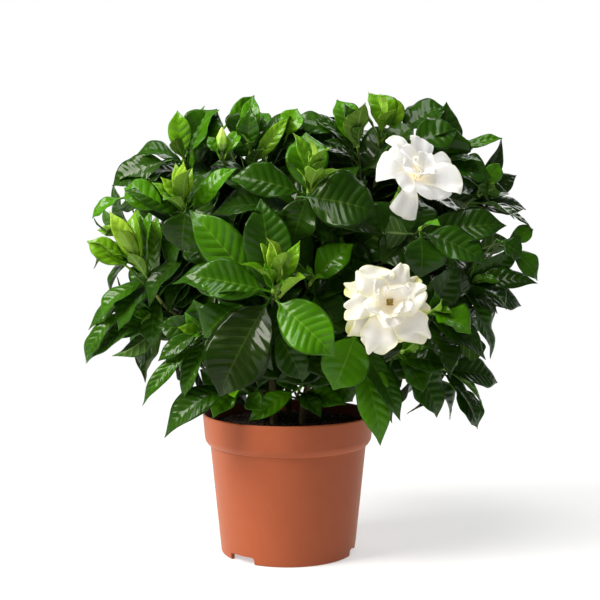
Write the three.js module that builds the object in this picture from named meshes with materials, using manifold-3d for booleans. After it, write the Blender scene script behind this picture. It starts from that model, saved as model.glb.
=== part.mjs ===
// Potted gardenia: a moulded plant pot, its soil, branching woody stems, leafy shoots,
// a flower bud and two open double blooms.
// Millimetres, +Z up. The origin is on the underside of the pot's central foot pad,
// the front faces -Y and +X is to the right of the front.
import * as THREE from 'three';
import { mergeVertices } from 'three/addons/utils/BufferGeometryUtils.js';
import Module from 'manifold-3d';

const wasm = await Module();
wasm.setup();

// Pot sizes
const RIM_RADIUS = 60;
const POT_HEIGHT = 98;
const RIM_BAND_BOTTOM = 76.3;
const BODY_TOP_RADIUS = 54.8;
const BODY_BASE_RADIUS = 47.2;
const POT_WALL = 1.5;
const FLOOR_UNDERSIDE = 6;
const FLOOR_TOP = 7.6;
const FOOT_RING_WIDTH = 3.2;
const CENTRE_PAD_RADIUS = 9;
const POT_SIDES = 28;
const NOTCH_AZIMUTHS = [-42, 78, 198];
const NOTCH_SPAN = 27;
const NOTCH_HEIGHT = 5;
const DRAIN_HOLE_RADIUS = 4;
const DRAIN_HOLE_CIRCLE = 27;
const DRAIN_HOLE_COUNT = 6;

// Soil sizes
const TOUCH_GAP = 0.3;
const SOIL_EDGE_HEIGHT = 89;
const SOIL_CROWN_HEIGHT = 93;
const STEM_FOOT_HEIGHT = 62;
const STEM_BEND_HEIGHT = 97;

// Stem sizes
const STEM_COUNT = 5;
const STEM_CIRCLE_RADIUS = 17;
const STEM_FOOT_RADIUS = 2.8;
const STEM_TOP_RADIUS = 1.5;
const BRANCH_RADIUS = 1.3;
const STEM_SIDES = 5;
const STEM_STEPS = 6;
const BRANCH_SIDES = 4;
const BRANCH_STEPS = 3;
const LOWEST_FORK = 108;
const HIGHEST_FORK = 215;

// Leaf and shoot sizes
const LEAF_THICKNESS = 1.2;
const PETIOLE_HALF_WIDTH = 1.3;
const PETIOLE_HALF_THICKNESS = 1;
const PETIOLE_LENGTH = 5.5;
const ROOT_DEPTH = 0.6;
const SMALL_LEAF_LENGTH = 46;
const TWIG_RADIUS = 1.6;
const LEAF_STEP_ON_TWIG = 3;
const TWIG_SPARE_LENGTH = 9;

// The bush's outer form, an egg that leans a little to the right
const BUSH_CENTRE = new THREE.Vector3(15, 0, 200);
const BUSH_RADII = new THREE.Vector3(158, 142, 122);

// The front view's eye, from which the front leaves and petals were measured, in pixels of its picture
const EYE = new THREE.Vector3(8.3, -848.5, 237.4);
const EYE_PITCH = THREE.MathUtils.degToRad(4.08);
const EYE_FOCAL_PIXELS = 1217.1;
const PICTURE_CENTRE_PIXELS = 300;

// Front shoots. tip and apex are pixels of the front view, depth is the apex's Y, facing is the
// growing direction, lean is how far the tip's Y lies from the apex's (minus is nearer), sizes in mm.
const FRONT_SHOOTS = [
  {
    name: 'shoot_front_rosette',
    apex: [273, 291],
    depth: -96,
    facing: [0.05, -0.8, 0.6],
    leaves: [
      { tip: [184, 275], lean: 2, width: 23, bow: 0.07, roll: -6 },
      { tip: [218, 398], lean: -3, width: 31, bow: 0.1 },
      { tip: [336, 357], lean: -12, width: 27, bow: 0.12, roll: 8 },
      { tip: [171, 281], lean: -10, width: 25, bow: 0.09, roll: 14 },
      { tip: [261, 197], lean: 10, width: 27, bow: 0.08 },
      { tip: [188, 208], lean: 8, width: 24, bow: 0.08, roll: -20 },
    ],
  },
  {
    name: 'young_front_rosette',
    apex: [278, 288],
    depth: -92,
    facing: [0, -0.45, 0.9],
    young: true,
    leaves: [
      { tip: [270, 243], lean: -6, width: 11, bow: 0.04 },
      { tip: [300, 240], lean: 5, width: 9, bow: 0.06, roll: 40 },
      { tip: [305, 276], lean: -16, width: 11, bow: 0.02, fold: 0.8 },
      { tip: [258, 263], lean: -10, width: 8, bow: 0.05 },
    ],
  },
  {
    name: 'shoot_front_centre',
    apex: [310, 284],
    depth: -70,
    facing: [0.25, -0.7, 0.65],
    leaves: [
      { tip: [354, 243], lean: -4, width: 19, bow: 0.1 },
      { tip: [338, 330], lean: -2, width: 24, bow: 0.1 },
      { tip: [284, 219], lean: 12, width: 22, bow: 0.08 },
      { tip: [346, 288], lean: -2, width: 20, bow: 0.06 },
      { tip: [303, 384], lean: 4, width: 18, bow: 0.08 },
    ],
  },
  {
    name: 'shoot_front_low_right',
    apex: [358, 328],
    depth: -78,
    facing: [0.2, -0.7, 0.4],
    leaves: [
      { tip: [333, 391], lean: -9, width: 28, bow: 0.1 },
      { tip: [382, 447], lean: -1, width: 21, bow: 0.08, root: 12 },
      { tip: [402, 421], lean: 4, width: 15, bow: 0.06, root: 10 },
      { tip: [394, 424], lean: 10, width: 12, bow: 0.05, root: 12 },
      { tip: [318, 342], lean: 6, width: 20, bow: 0.1 },
    ],
  },
  {
    name: 'shoot_low_right',
    apex: [402, 352],
    depth: -66,
    facing: [0.45, -0.6, 0.35],
    leaves: [
      { tip: [439, 418], lean: 2, width: 26, bow: 0.1 },
      { tip: [424, 392], lean: -8, width: 22, bow: 0.08 },
      { tip: [443, 396], lean: 10, width: 20, bow: 0.1 },
      { tip: [378, 398], lean: 2, width: 18, bow: 0.06 },
      { tip: [452, 366], lean: 8, width: 22, bow: 0.1 },
    ],
  },
  {
    name: 'shoot_far_low_right',
    apex: [442, 366],
    depth: -34,
    facing: [0.7, -0.4, 0.3],
    leaves: [
      { tip: [486, 409], lean: -8, width: 14, bow: 0.08, roll: -20 },
      { tip: [480, 429], lean: -2, width: 15, bow: 0.1 },
      { tip: [500, 382], lean: 22, width: 19, bow: 0.1 },
      { tip: [452, 420], lean: 16, width: 18, bow: 0.08 },
    ],
  },
  {
    name: 'shoot_right_of_bloom',
    apex: [429, 312],
    depth: -66,
    facing: [0.6, -0.65, 0.4],
    leaves: [
      { tip: [472, 333], lean: -12, width: 24, bow: 0.1 },
      { tip: [476, 322], lean: 10, width: 20, bow: 0.08 },
      { tip: [488, 359], lean: 6, width: 17, bow: 0.1 },
      { tip: [458, 262], lean: 6, width: 20, bow: 0.1 },
      { tip: [452, 378], lean: 0, width: 22, bow: 0.09 },
    ],
  },
  {
    name: 'shoot_right',
    apex: [466, 284],
    depth: -26,
    facing: [0.8, -0.5, 0.35],
    leaves: [
      { tip: [508, 309], lean: -12, width: 19, bow: 0.16 },
      { tip: [493, 359], lean: 2, width: 20, bow: 0.08 },
      { tip: [539, 282], lean: 2, width: 14, bow: 0.12 },
      { tip: [499, 313], lean: 8, width: 14, bow: 0.1 },
      { tip: [522, 247], lean: 6, width: 14, bow: 0.1 },
      { tip: [524, 305], lean: 30, width: 20, bow: 0.1 },
    ],
  },
  {
    name: 'shoot_above_front_bloom',
    apex: [420, 229],
    depth: -72,
    facing: [0.3, -0.8, 0.45],
    leaves: [
      { tip: [420, 279], lean: -7, width: 26, bow: 0.12 },
      { tip: [487, 263], lean: -2, width: 22, bow: 0.09 },
      { tip: [384, 232], lean: -8, width: 19, bow: 0.08, roll: 150 },
      { tip: [456, 268], lean: 6, width: 12, bow: 0.06 },
      { tip: [380, 262], lean: 4, width: 22, bow: 0.1 },
      { tip: [508, 224], lean: 14, width: 23, bow: 0.09 },
    ],
  },
  {
    name: 'shoot_upper_right',
    apex: [478, 196],
    depth: -18,
    facing: [0.75, -0.35, 0.6],
    leaves: [
      { tip: [497, 188], lean: -16, width: 12, bow: 0.1 },
      { tip: [510, 193], lean: -6, width: 13, bow: 0.12 },
      { tip: [516, 218], lean: -10, width: 14, bow: 0.1 },
      { tip: [535, 229], lean: 4, width: 12, bow: 0.1 },
      { tip: [504, 137], lean: 10, width: 12, bow: 0.1 },
      { tip: [518, 174], lean: 12, width: 15, bow: 0.1 },
      { tip: [528, 208], lean: 26, width: 18, bow: 0.1 },
    ],
  },
  {
    name: 'shoot_top_right',
    apex: [440, 158],
    depth: -22,
    facing: [0.4, -0.45, 0.8],
    leaves: [
      { tip: [456, 128], lean: -10, width: 24, bow: 0.14 },
      { tip: [491, 201], lean: -16, width: 20, bow: 0.1 },
      { tip: [482, 160], lean: -10, width: 12, bow: 0.1 },
      { tip: [448, 101], lean: 6, width: 21, bow: 0.08 },
      { tip: [476, 139], lean: 14, width: 17, bow: 0.1 },
      { tip: [418, 116], lean: 10, width: 17, bow: 0.08 },
    ],
  },
  {
    name: 'young_top',
    apex: [381, 128],
    depth: -24,
    facing: [0.05, -0.3, 0.95],
    young: true,
    leaves: [
      { tip: [381, 93], lean: -9, width: 10, bow: 0.04 },
      { tip: [369, 91], lean: 2, width: 9, bow: 0.06 },
      { tip: [396, 108], lean: -6, width: 10, bow: 0.12 },
      { tip: [405, 126], lean: -9, width: 12, bow: 0.1 },
      { tip: [360, 111], lean: -3, width: 9, bow: 0.1 },
    ],
  },
  {
    name: 'shoot_top_middle',
    apex: [358, 146],
    depth: -38,
    facing: [-0.1, -0.5, 0.85],
    leaves: [
      { tip: [345, 103], lean: -4, width: 10, bow: 0.08 },
      { tip: [337, 98], lean: 12, width: 17, bow: 0.08 },
      { tip: [364, 101], lean: -2, width: 17, bow: 0.08 },
      { tip: [308, 111], lean: 10, width: 12, bow: 0.1 },
      { tip: [279, 141], lean: 6, width: 20, bow: 0.12 },
      { tip: [325, 139], lean: -8, width: 15, bow: 0.1 },
      { tip: [398, 166], lean: -2, width: 22, bow: 0.1 },
    ],
  },
  {
    name: 'young_upper_middle',
    apex: [311, 184],
    depth: -78,
    facing: [0.1, -0.45, 0.88],
    young: true,
    leaves: [
      { tip: [310, 151], lean: -8, width: 8, bow: 0.04 },
      { tip: [326, 157], lean: -9, width: 9, bow: 0.08 },
      { tip: [341, 168], lean: -6, width: 9, bow: 0.1 },
      { tip: [298, 168], lean: -4, width: 8, bow: 0.08 },
    ],
  },
  {
    name: 'shoot_upper_middle',
    apex: [308, 192],
    depth: -70,
    facing: [0, -0.75, 0.6],
    leaves: [
      { tip: [378, 214], lean: -12, width: 30, bow: 0.08 },
      { tip: [228, 177], lean: -2, width: 21, bow: 0.1, roll: -10 },
      { tip: [306, 131], lean: 9, width: 24, bow: 0.1 },
      { tip: [386, 236], lean: 1, width: 21, bow: 0.08 },
      { tip: [322, 246], lean: 0, width: 24, bow: 0.08 },
      { tip: [243, 208], lean: 8, width: 20, bow: 0.08 },
    ],
  },
  {
    name: 'shoot_top_left_middle',
    apex: [250, 154],
    depth: -46,
    facing: [-0.05, -0.5, 0.85],
    leaves: [
      { tip: [253, 94], lean: 3, width: 12, bow: 0.12 },
      { tip: [250, 107], lean: -8, width: 14, bow: 0.08 },
      { tip: [263, 114], lean: 8, width: 13, bow: 0.08 },
      { tip: [289, 117], lean: -4, width: 10, bow: 0.08, roll: 50 },
      { tip: [295, 109], lean: 10, width: 17, bow: 0.1 },
      { tip: [264, 148], lean: -14, width: 12, bow: 0.12 },
      { tip: [212, 164], lean: -9, width: 13, bow: 0.1 },
    ],
  },
  {
    name: 'young_upper_left',
    apex: [184, 206],
    depth: -66,
    facing: [-0.1, -0.5, 0.85],
    young: true,
    leaves: [
      { tip: [183, 161], lean: -8, width: 9, bow: 0.05 },
      { tip: [192, 167], lean: -2, width: 8, bow: 0.06 },
      { tip: [161, 176], lean: -7, width: 10, bow: 0.08 },
      { tip: [152, 181], lean: 0, width: 9, bow: 0.08 },
      { tip: [202, 184], lean: -9, width: 8, bow: 0.08 },
    ],
  },
  {
    name: 'shoot_upper_left',
    apex: [190, 216],
    depth: -60,
    facing: [-0.15, -0.75, 0.6],
    leaves: [
      { tip: [236, 167], lean: -8, width: 15, bow: 0.1 },
      { tip: [124, 189], lean: -4, width: 17, bow: 0.12 },
      { tip: [236, 248], lean: -2, width: 24, bow: 0.12 },
      { tip: [164, 262], lean: 2, width: 22, bow: 0.08 },
      { tip: [206, 268], lean: 6, width: 22, bow: 0.08 },
    ],
  },
  {
    name: 'shoot_top_left',
    apex: [184, 160],
    depth: -32,
    facing: [-0.35, -0.5, 0.8],
    leaves: [
      { tip: [177, 110], lean: -4, width: 14, bow: 0.06, roll: 30 },
      { tip: [218, 108], lean: 2, width: 23, bow: 0.1 },
      { tip: [153, 167], lean: -10, width: 9, bow: 0.1 },
      { tip: [130, 158], lean: 2, width: 17, bow: 0.24 },
      { tip: [110, 184], lean: -2, width: 22, bow: 0.14 },
      { tip: [203, 104], lean: 16, width: 14, bow: 0.1 },
      { tip: [214, 196], lean: 0, width: 20, bow: 0.1 },
    ],
  },
  {
    name: 'young_left',
    apex: [142, 268],
    depth: -52,
    facing: [-0.4, -0.35, 0.85],
    young: true,
    leaves: [
      { tip: [87, 240], lean: 0, width: 15, bow: 0.06, roll: 20 },
      { tip: [115, 222], lean: 2, width: 11, bow: 0.06 },
      { tip: [152, 204], lean: 4, width: 9, bow: 0.05 },
      { tip: [128, 252], lean: -12, width: 9, bow: 0.05 },
    ],
  },
  {
    name: 'shoot_left',
    apex: [149, 276],
    depth: -42,
    facing: [-0.55, -0.65, 0.5],
    leaves: [
      { tip: [136, 207], lean: 2, width: 18, bow: 0.08 },
      { tip: [98, 319], lean: -2, width: 14, bow: 0.14 },
      { tip: [117, 330], lean: -8, width: 21, bow: 0.1 },
      { tip: [156, 213], lean: 8, width: 16, bow: 0.06 },
      { tip: [86, 329], lean: 10, width: 16, bow: 0.1 },
      { tip: [152, 348], lean: -2, width: 22, bow: 0.1 },
    ],
  },
  {
    name: 'shoot_far_left',
    apex: [128, 236],
    depth: 2,
    facing: [-0.9, -0.3, 0.35],
    leaves: [
      { tip: [92, 218], lean: -8, width: 9, bow: 0.12 },
      { tip: [102, 208], lean: 4, width: 14, bow: 0.1 },
      { tip: [92, 268], lean: 0, width: 16, bow: 0.1 },
      { tip: [112, 180], lean: 12, width: 16, bow: 0.1 },
      { tip: [108, 298], lean: 12, width: 18, bow: 0.1 },
    ],
  },
  {
    name: 'shoot_low_left',
    apex: [158, 316],
    depth: -34,
    facing: [-0.75, -0.5, 0.15],
    leaves: [
      { tip: [83, 363], lean: 6, width: 14, bow: 0.14, root: 9 },
      { tip: [104, 336], lean: 14, width: 18, bow: 0.1 },
      { tip: [112, 358], lean: -12, width: 13, bow: 0.1, roll: 160 },
      { tip: [138, 370], lean: 16, width: 20, bow: 0.1 },
    ],
  },
  {
    name: 'shoot_low_left_fingers',
    apex: [204, 330],
    depth: -62,
    facing: [-0.5, -0.75, 0.1],
    leaves: [
      { tip: [157, 361], lean: -2, width: 11, bow: 0.08 },
      { tip: [166, 364], lean: 5, width: 11, bow: 0.08 },
      { tip: [140, 406], lean: 6, width: 10, bow: 0.1 },
      { tip: [181, 401], lean: 0, width: 13, bow: 0.08 },
      { tip: [193, 300], lean: -2, width: 20, bow: 0.1 },
      { tip: [154, 326], lean: 2, width: 15, bow: 0.1 },
    ],
  },
  {
    name: 'shoot_rim_left',
    apex: [240, 386],
    depth: -44,
    facing: [-0.4, -0.75, 0.35],
    leaves: [
      { tip: [162, 438], lean: -22, width: 18, bow: 0.22 },
      { tip: [212, 418], lean: -12, width: 16, bow: 0.16 },
      { tip: [234, 397], lean: -22, width: 10, bow: 0.1 },
      { tip: [262, 410], lean: -8, width: 13, bow: 0.12 },
    ],
  },
  {
    name: 'shoot_rim_middle',
    apex: [300, 388],
    depth: -34,
    facing: [0.1, -0.8, 0.45],
    leaves: [
      { tip: [247, 422], lean: -16, width: 13, bow: 0.16 },
      { tip: [275, 382], lean: -14, width: 9, bow: 0.16 },
      { tip: [321, 417], lean: -18, width: 12, bow: 0.12 },
      { tip: [346, 404], lean: -12, width: 14, bow: 0.1 },
    ],
  },
];

// Rings of shoots round the sides, back and crown, by a rule. Angles in degrees: azimuth from
// the front towards the right, elevation above the bush's centre; reach is a share of its radii.
const SHOOT_RINGS = [
  { name: 'skirt', elevation: -30, count: 6, from: 84, to: 268, reach: 0.74, lift: 0.05 },
  { name: 'waist', elevation: 4, count: 5, from: 102, to: 256, reach: 0.76, lift: 0.3 },
  { name: 'shoulder', elevation: 36, count: 4, from: 112, to: 248, reach: 0.76, lift: 0.7 },
  { name: 'crown', elevation: 68, count: 2, from: 140, to: 238, reach: 0.76, lift: 1 },
  { name: 'inner', elevation: 4, count: 2, from: -40, to: 20, reach: 0.42, lift: 0.4 },
];
const RULE_LEAVES = 8;
const RULE_SEED = 4021;

// Blooms. centre and tips are pixels of the front view, depth is the centre's Y
const BLOOMS = [
  {
    name: 'bloom_front',
    centre: [389, 303],
    depth: -98,
    facing: [0.1, -0.97, 0.22],
    petals: [
      { tip: [344, 329], lean: 2, width: 15, bow: 0.14, ring: 0 },
      { tip: [348, 280], lean: 4, width: 15, bow: 0.12, ring: 0 },
      { tip: [401, 343], lean: 3, width: 18, bow: 0.1, ring: 0 },
      { tip: [427, 317], lean: 2, width: 16, bow: 0.1, ring: 0 },
      { tip: [417, 276], lean: 2, width: 13, bow: 0.1, ring: 0 },
      { tip: [364, 266], lean: -3, width: 20, bow: 0.12, ring: 1 },
      { tip: [346, 300], lean: -4, width: 18, bow: 0.12, ring: 1 },
      { tip: [374, 354], lean: -2, width: 20, bow: 0.16, ring: 1 },
      { tip: [425, 343], lean: -2, width: 19, bow: 0.14, ring: 1 },
      { tip: [427, 298], lean: -4, width: 17, bow: 0.1, ring: 1 },
      { tip: [398, 263], lean: -3, width: 16, bow: 0.1, ring: 1 },
      { tip: [374, 287], lean: -16, width: 15, bow: 0.16, ring: 2 },
      { tip: [372, 314], lean: -16, width: 15, bow: 0.16, ring: 2 },
      { tip: [394, 325], lean: -15, width: 15, bow: 0.16, ring: 2 },
      { tip: [409, 309], lean: -15, width: 14, bow: 0.16, ring: 2 },
      { tip: [400, 285], lean: -15, width: 15, bow: 0.16, ring: 2 },
      { tip: [380, 297], lean: -17, width: 8, bow: 0.22, ring: 3 },
      { tip: [386, 314], lean: -17, width: 8, bow: 0.22, ring: 3 },
      { tip: [400, 304], lean: -17, width: 8, bow: 0.22, ring: 3 },
      { tip: [392, 291], lean: -17, width: 8, bow: 0.22, ring: 3 },
    ],
  },
  {
    name: 'bloom_top',
    centre: [417, 176],
    depth: -64,
    facing: [0.5, -0.62, 0.6],
    petals: [
      { tip: [378, 166], lean: 2, width: 22, bow: 0.14, ring: 0 },
      { tip: [393, 134], lean: 8, width: 15, bow: 0.1, ring: 0 },
      { tip: [402, 217], lean: -6, width: 19, bow: 0.06, ring: 0 },
      { tip: [461, 182], lean: 2, width: 22, bow: 0.14, ring: 0 },
      { tip: [452, 160], lean: 14, width: 16, bow: 0.1, ring: 0 },
      { tip: [421, 137], lean: 10, width: 18, bow: 0.1, ring: 1 },
      { tip: [438, 198], lean: -12, width: 24, bow: 0.16, ring: 1 },
      { tip: [402, 188], lean: -14, width: 17, bow: 0.16, ring: 1 },
      { tip: [389, 150], lean: -4, width: 17, bow: 0.14, ring: 1 },
      { tip: [402, 148], lean: -8, width: 12, bow: 0.16, ring: 2 },
      { tip: [436, 167], lean: -6, width: 17, bow: 0.2, ring: 2 },
      { tip: [425, 152], lean: -3, width: 14, bow: 0.18, ring: 2 },
      { tip: [404, 166], lean: -14, width: 12, bow: 0.18, ring: 2 },
      { tip: [414, 160], lean: -12, width: 8, bow: 0.22, ring: 3 },
      { tip: [424, 172], lean: -12, width: 9, bow: 0.22, ring: 3 },
    ],
  },
];
const PETAL_THICKNESS = 1.3;
const PETAL_RING_STEP = 1.5;
const COROLLA_RADIUS = 4.2;
const COROLLA_LENGTH = 9;
const CALYX_RADIUS = 3.4;
const CALYX_LENGTH = 9;
const STALK_LENGTH = 12;
const HEART_RADIUS = 2.1;
const HEART_LENGTH = 6;

// Flower bud on the top left middle shoot
const BUD = { shoot: 'shoot_top_left_middle', base: [222, 151], tip: [222, 127], depth: -54, radius: 4.2 };
const BUD_TWIG_DROP = 14;

// Finishes
const FINISHES = {
  pot: { color: 0xb9653f, roughness: 0.55 },
  soil: { color: 0x2c2018, roughness: 0.95 },
  stem: { color: 0x5b5a2c, roughness: 0.8 },
  leaf: { color: 0x22520f, roughness: 0.35 },
  young: { color: 0x6d9c22, roughness: 0.35 },
  petal: { color: 0xf3f0e6, roughness: 0.6 },
  heart: { color: 0xc18f2a, roughness: 0.7 },
  bud: { color: 0x9fc055, roughness: 0.5 },
};

const UP = new THREE.Vector3(0, 0, 1);

function vector(x, y, z) {
  return new THREE.Vector3(x, y, z);
}

// A point of the front view's picture, carried along its ray to the plane of that depth
function fromPicture(pixel, depth) {
  const forward = vector(0, Math.cos(EYE_PITCH), -Math.sin(EYE_PITCH));
  const upward = vector(0, Math.sin(EYE_PITCH), Math.cos(EYE_PITCH));
  const across = (pixel[0] - PICTURE_CENTRE_PIXELS) / EYE_FOCAL_PIXELS;
  const rise = (PICTURE_CENTRE_PIXELS - pixel[1]) / EYE_FOCAL_PIXELS;
  const ray = forward.clone().addScaledVector(upward, rise);
  ray.x += across;
  return EYE.clone().addScaledVector(ray, (depth - EYE.y) / ray.y);
}

// Seeded random numbers from 0 to 1, the same on every run
function seededRandom(seed) {
  let state = seed >>> 0;
  return () => {
    state = (state + 0x6d2b79f5) >>> 0;
    let mixed = Math.imul(state ^ (state >>> 15), 1 | state);
    mixed = (mixed + Math.imul(mixed ^ (mixed >>> 7), 61 | mixed)) ^ mixed;
    return ((mixed ^ (mixed >>> 14)) >>> 0) / 4294967296;
  };
}

// Solids from closed triangle lists, turned so that their faces point out
function solidFromTriangles(points, triangles) {
  let volume = 0;
  for (const [a, b, c] of triangles) {
    volume += points[a].dot(points[b].clone().cross(points[c]));
  }
  const order = volume < 0 ? [0, 2, 1] : [0, 1, 2];
  const vertProperties = new Float32Array(points.length * 3);
  points.forEach((point, index) => point.toArray(vertProperties, index * 3));
  const triVerts = new Uint32Array(triangles.flatMap((triangle) => order.map((k) => triangle[k])));
  return new wasm.Manifold(new wasm.Mesh({ numProp: 3, vertProperties, triVerts }));
}

function solidFromGeometry(geometry) {
  const bare = geometry.clone();
  bare.deleteAttribute('normal');
  bare.deleteAttribute('uv');
  const merged = mergeVertices(bare, 1e-4);
  const position = merged.getAttribute('position');
  const index = merged.getIndex();
  const points = [];
  for (let k = 0; k < position.count; k += 1) {
    points.push(new THREE.Vector3().fromBufferAttribute(position, k));
  }
  const triangles = [];
  for (let k = 0; k < index.count; k += 3) {
    const triangle = [index.getX(k), index.getX(k + 1), index.getX(k + 2)];
    if (new Set(triangle).size === 3) {
      triangles.push(triangle);
    }
  }
  return solidFromTriangles(points, triangles);
}

// A closed skin through rings of points, all with the same count; a point may close either end
function loft(rings, tip, root) {
  const sides = rings[0].length;
  const points = rings.flat();
  const triangles = [];
  for (let ring = 0; ring < rings.length - 1; ring += 1) {
    for (let side = 0; side < sides; side += 1) {
      const a = ring * sides + side;
      const b = ring * sides + ((side + 1) % sides);
      const c = b + sides;
      const d = a + sides;
      // Facing sides are split alike, so a thin waved blade never crosses itself
      if (side % 2 === 0) {
        triangles.push([a, b, c], [a, c, d]);
      } else {
        triangles.push([a, b, d], [b, c, d]);
      }
    }
  }
  closeEnd(points, triangles, 0, sides, root, true);
  closeEnd(points, triangles, (rings.length - 1) * sides, sides, tip, false);
  return solidFromTriangles(points, triangles);
}

// A point, or else a flat cap that fans from the ring's second point, the upper midrib of a blade
function closeEnd(points, triangles, first, sides, point, reversed) {
  const corners = [];
  if (point) {
    points.push(point);
    for (let side = 0; side < sides; side += 1) {
      corners.push([first + side, first + ((side + 1) % sides), points.length - 1]);
    }
  } else {
    for (let side = 2; side < sides; side += 1) {
      corners.push([first + 1, first + side, first + ((side + 1) % sides)]);
    }
  }
  triangles.push(...corners.map(([a, b, c]) => (reversed ? [a, c, b] : [a, b, c])));
}

// A tapering tube along a curve, flat at both ends
function tube(curve, steps, sides, startRadius, endRadius) {
  const frames = curve.computeFrenetFrames(steps, false);
  const rings = [];
  for (let step = 0; step <= steps; step += 1) {
    const share = step / steps;
    const centre = curve.getPointAt(share);
    const radius = THREE.MathUtils.lerp(startRadius, endRadius, share);
    const ring = [];
    for (let side = 0; side < sides; side += 1) {
      const angle = (side / sides) * Math.PI * 2;
      ring.push(
        centre
          .clone()
          .addScaledVector(frames.normals[step], Math.cos(angle) * radius)
          .addScaledVector(frames.binormals[step], Math.sin(angle) * radius),
      );
    }
    rings.push(ring);
  }
  return loft(rings);
}

// The outline of a leaf: a long ellipse, widest past the middle, drawn out to both ends
function leafOutline(share) {
  return Math.sin(Math.PI * share ** 1.12) ** 0.85;
}

// The outline of a petal: narrow at its claw, broad and round at its end
function petalOutline(share) {
  return Math.sin(Math.PI * 0.93 * share ** 1.7 + 0.12) ** 0.6;
}

// Where a blade runs: a bowed line from root to tip, with its upper side and its width's direction
function bladeCourse(blade) {
  const chord = blade.tip.clone().sub(blade.root);
  const length = chord.length();
  const along = chord.clone().normalize();
  const upper = blade.facing.clone().addScaledVector(along, -blade.facing.dot(along)).normalize();
  upper.applyAxisAngle(along, THREE.MathUtils.degToRad(blade.roll));
  const side = along.clone().cross(upper);
  return (share) => {
    const centre = blade.root
      .clone()
      .addScaledVector(chord, share)
      .addScaledVector(upper, blade.bow * length * 4 * share * (1 - share));
    const heading = along
      .clone()
      .addScaledVector(upper, blade.bow * 4 * (1 - 2 * share))
      .normalize();
    const normal = upper.clone().addScaledVector(heading, -upper.dot(heading)).normalize();
    return { centre, side, normal };
  };
}

// A blade of lens section, folded up along its midrib, with gently waved edges. grow thickens
// and widens it all round, to test the room it needs; outer leaves its foot off.
function bladeSolid(blade, grow, outer = false) {
  const course = bladeCourse(blade);
  const away = blade.tip.clone().sub(blade.root).normalize();
  const rings = [];
  if (blade.petiole && !outer) {
    const share = PETIOLE_LENGTH / blade.tip.distanceTo(blade.root);
    rings.push(bladeRing(course(share), PETIOLE_HALF_WIDTH + grow, 0, 0, PETIOLE_HALF_THICKNESS + grow));
  }
  for (const share of blade.stations) {
    const half = (blade.width / 2) * blade.outline(share);
    const wave = blade.wave * half;
    const left = half * blade.fold + wave * Math.sin(blade.phase + share * 11);
    const right = half * blade.fold + wave * Math.sin(blade.phase * 1.7 + share * 9);
    rings.push(bladeRing(course(share), half + grow, left, right, blade.thickness / 2 + grow));
  }
  const tip = blade.tip.clone().addScaledVector(away, grow);
  const root = outer ? null : blade.root.clone().addScaledVector(away, -blade.sunk);
  return loft(rings, tip, root);
}

function bladeRing(place, half, left, right, thick) {
  const { centre, side, normal } = place;
  return [
    centre.clone().addScaledVector(side, -half).addScaledVector(normal, left),
    centre.clone().addScaledVector(normal, thick),
    centre.clone().addScaledVector(side, half).addScaledVector(normal, right),
    centre.clone().addScaledVector(normal, -thick),
  ];
}

const LARGE_STATIONS = [0.34, 0.63, 0.88];
const SMALL_STATIONS = [0.42, 0.78];
const PETAL_STATIONS = [0.34, 0.72, 0.93];

function leafBlade(root, tip, facing, width, options) {
  const large = options.fine && tip.distanceTo(root) > SMALL_LEAF_LENGTH;
  return {
    root,
    tip,
    facing,
    width,
    bow: options.bow ?? 0.1,
    roll: options.roll ?? 0,
    fold: options.fold ?? 0.22,
    wave: options.wave ?? 0.1,
    phase: options.phase ?? 0,
    thickness: LEAF_THICKNESS,
    outline: leafOutline,
    stations: large ? LARGE_STATIONS : SMALL_STATIONS,
    petiole: true,
    sunk: ROOT_DEPTH,
  };
}

// Everything placed so far, by node, with the box of each solid for a quick look
const placed = [];

function place(node, solid) {
  placed.push({ node, solid, box: solid.boundingBox() });
}

function boxesMeet(a, b) {
  return [0, 1, 2].every((axis) => a.min[axis] <= b.max[axis] && b.min[axis] <= a.max[axis]);
}

function meets(first, second) {
  const shared = first.intersect(second);
  const empty = shared.isEmpty();
  shared.delete();
  return !empty;
}

// Whether a solid, thickened as sleeve, keeps clear of all that is placed in other nodes
function isClear(node, sleeve) {
  const box = sleeve.boundingBox();
  return placed.every(
    (other) => other.node === node || !boxesMeet(box, other.box) || !meets(sleeve, other.solid),
  );
}

// Whether the outer part of a blade keeps clear of its neighbours in its own node
function isClearOfNode(neighbours, blade) {
  const outer = bladeSolid(blade, 0, true);
  const box = outer.boundingBox();
  const clear = neighbours.every((other) => !boxesMeet(box, other.box) || !meets(outer, other.solid));
  outer.delete();
  return clear;
}

// The first of a blade's tries that keeps clear; a crossing inside its own node only as a last resort
function firstClear(node, tries, neighbours) {
  let spare = null;
  for (const blade of tries) {
    const sleeve = bladeSolid(blade, TOUCH_GAP + 0.05);
    const clear = isClear(node, sleeve);
    sleeve.delete();
    if (clear && isClearOfNode(neighbours, blade)) {
      return blade;
    }
    spare = spare ?? (clear ? blade : null);
  }
  return spare;
}

// One closed body from many: joined, with loose scraps dropped and sealed hollows filled
function fuse(solids) {
  const joined = wasm.Manifold.union(solids);
  const bodies = joined.decompose();
  bodies.sort((a, b) => b.volume() - a.volume());
  return bodies[0];
}

function geometryFromSolid(solid) {
  const mesh = solid.getMesh();
  const geometry = new THREE.BufferGeometry();
  geometry.setAttribute('position', new THREE.BufferAttribute(new Float32Array(mesh.vertProperties), 3));
  geometry.setIndex(new THREE.BufferAttribute(new Uint32Array(mesh.triVerts), 1));
  geometry.computeVertexNormals();
  return geometry;
}

const plant = new THREE.Group();

function addNode(name, solid, finish) {
  const material = new THREE.MeshStandardMaterial({ ...FINISHES[finish], metalness: 0 });
  const mesh = new THREE.Mesh(geometryFromSolid(solid), material);
  mesh.name = name;
  plant.add(mesh);
}

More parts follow.
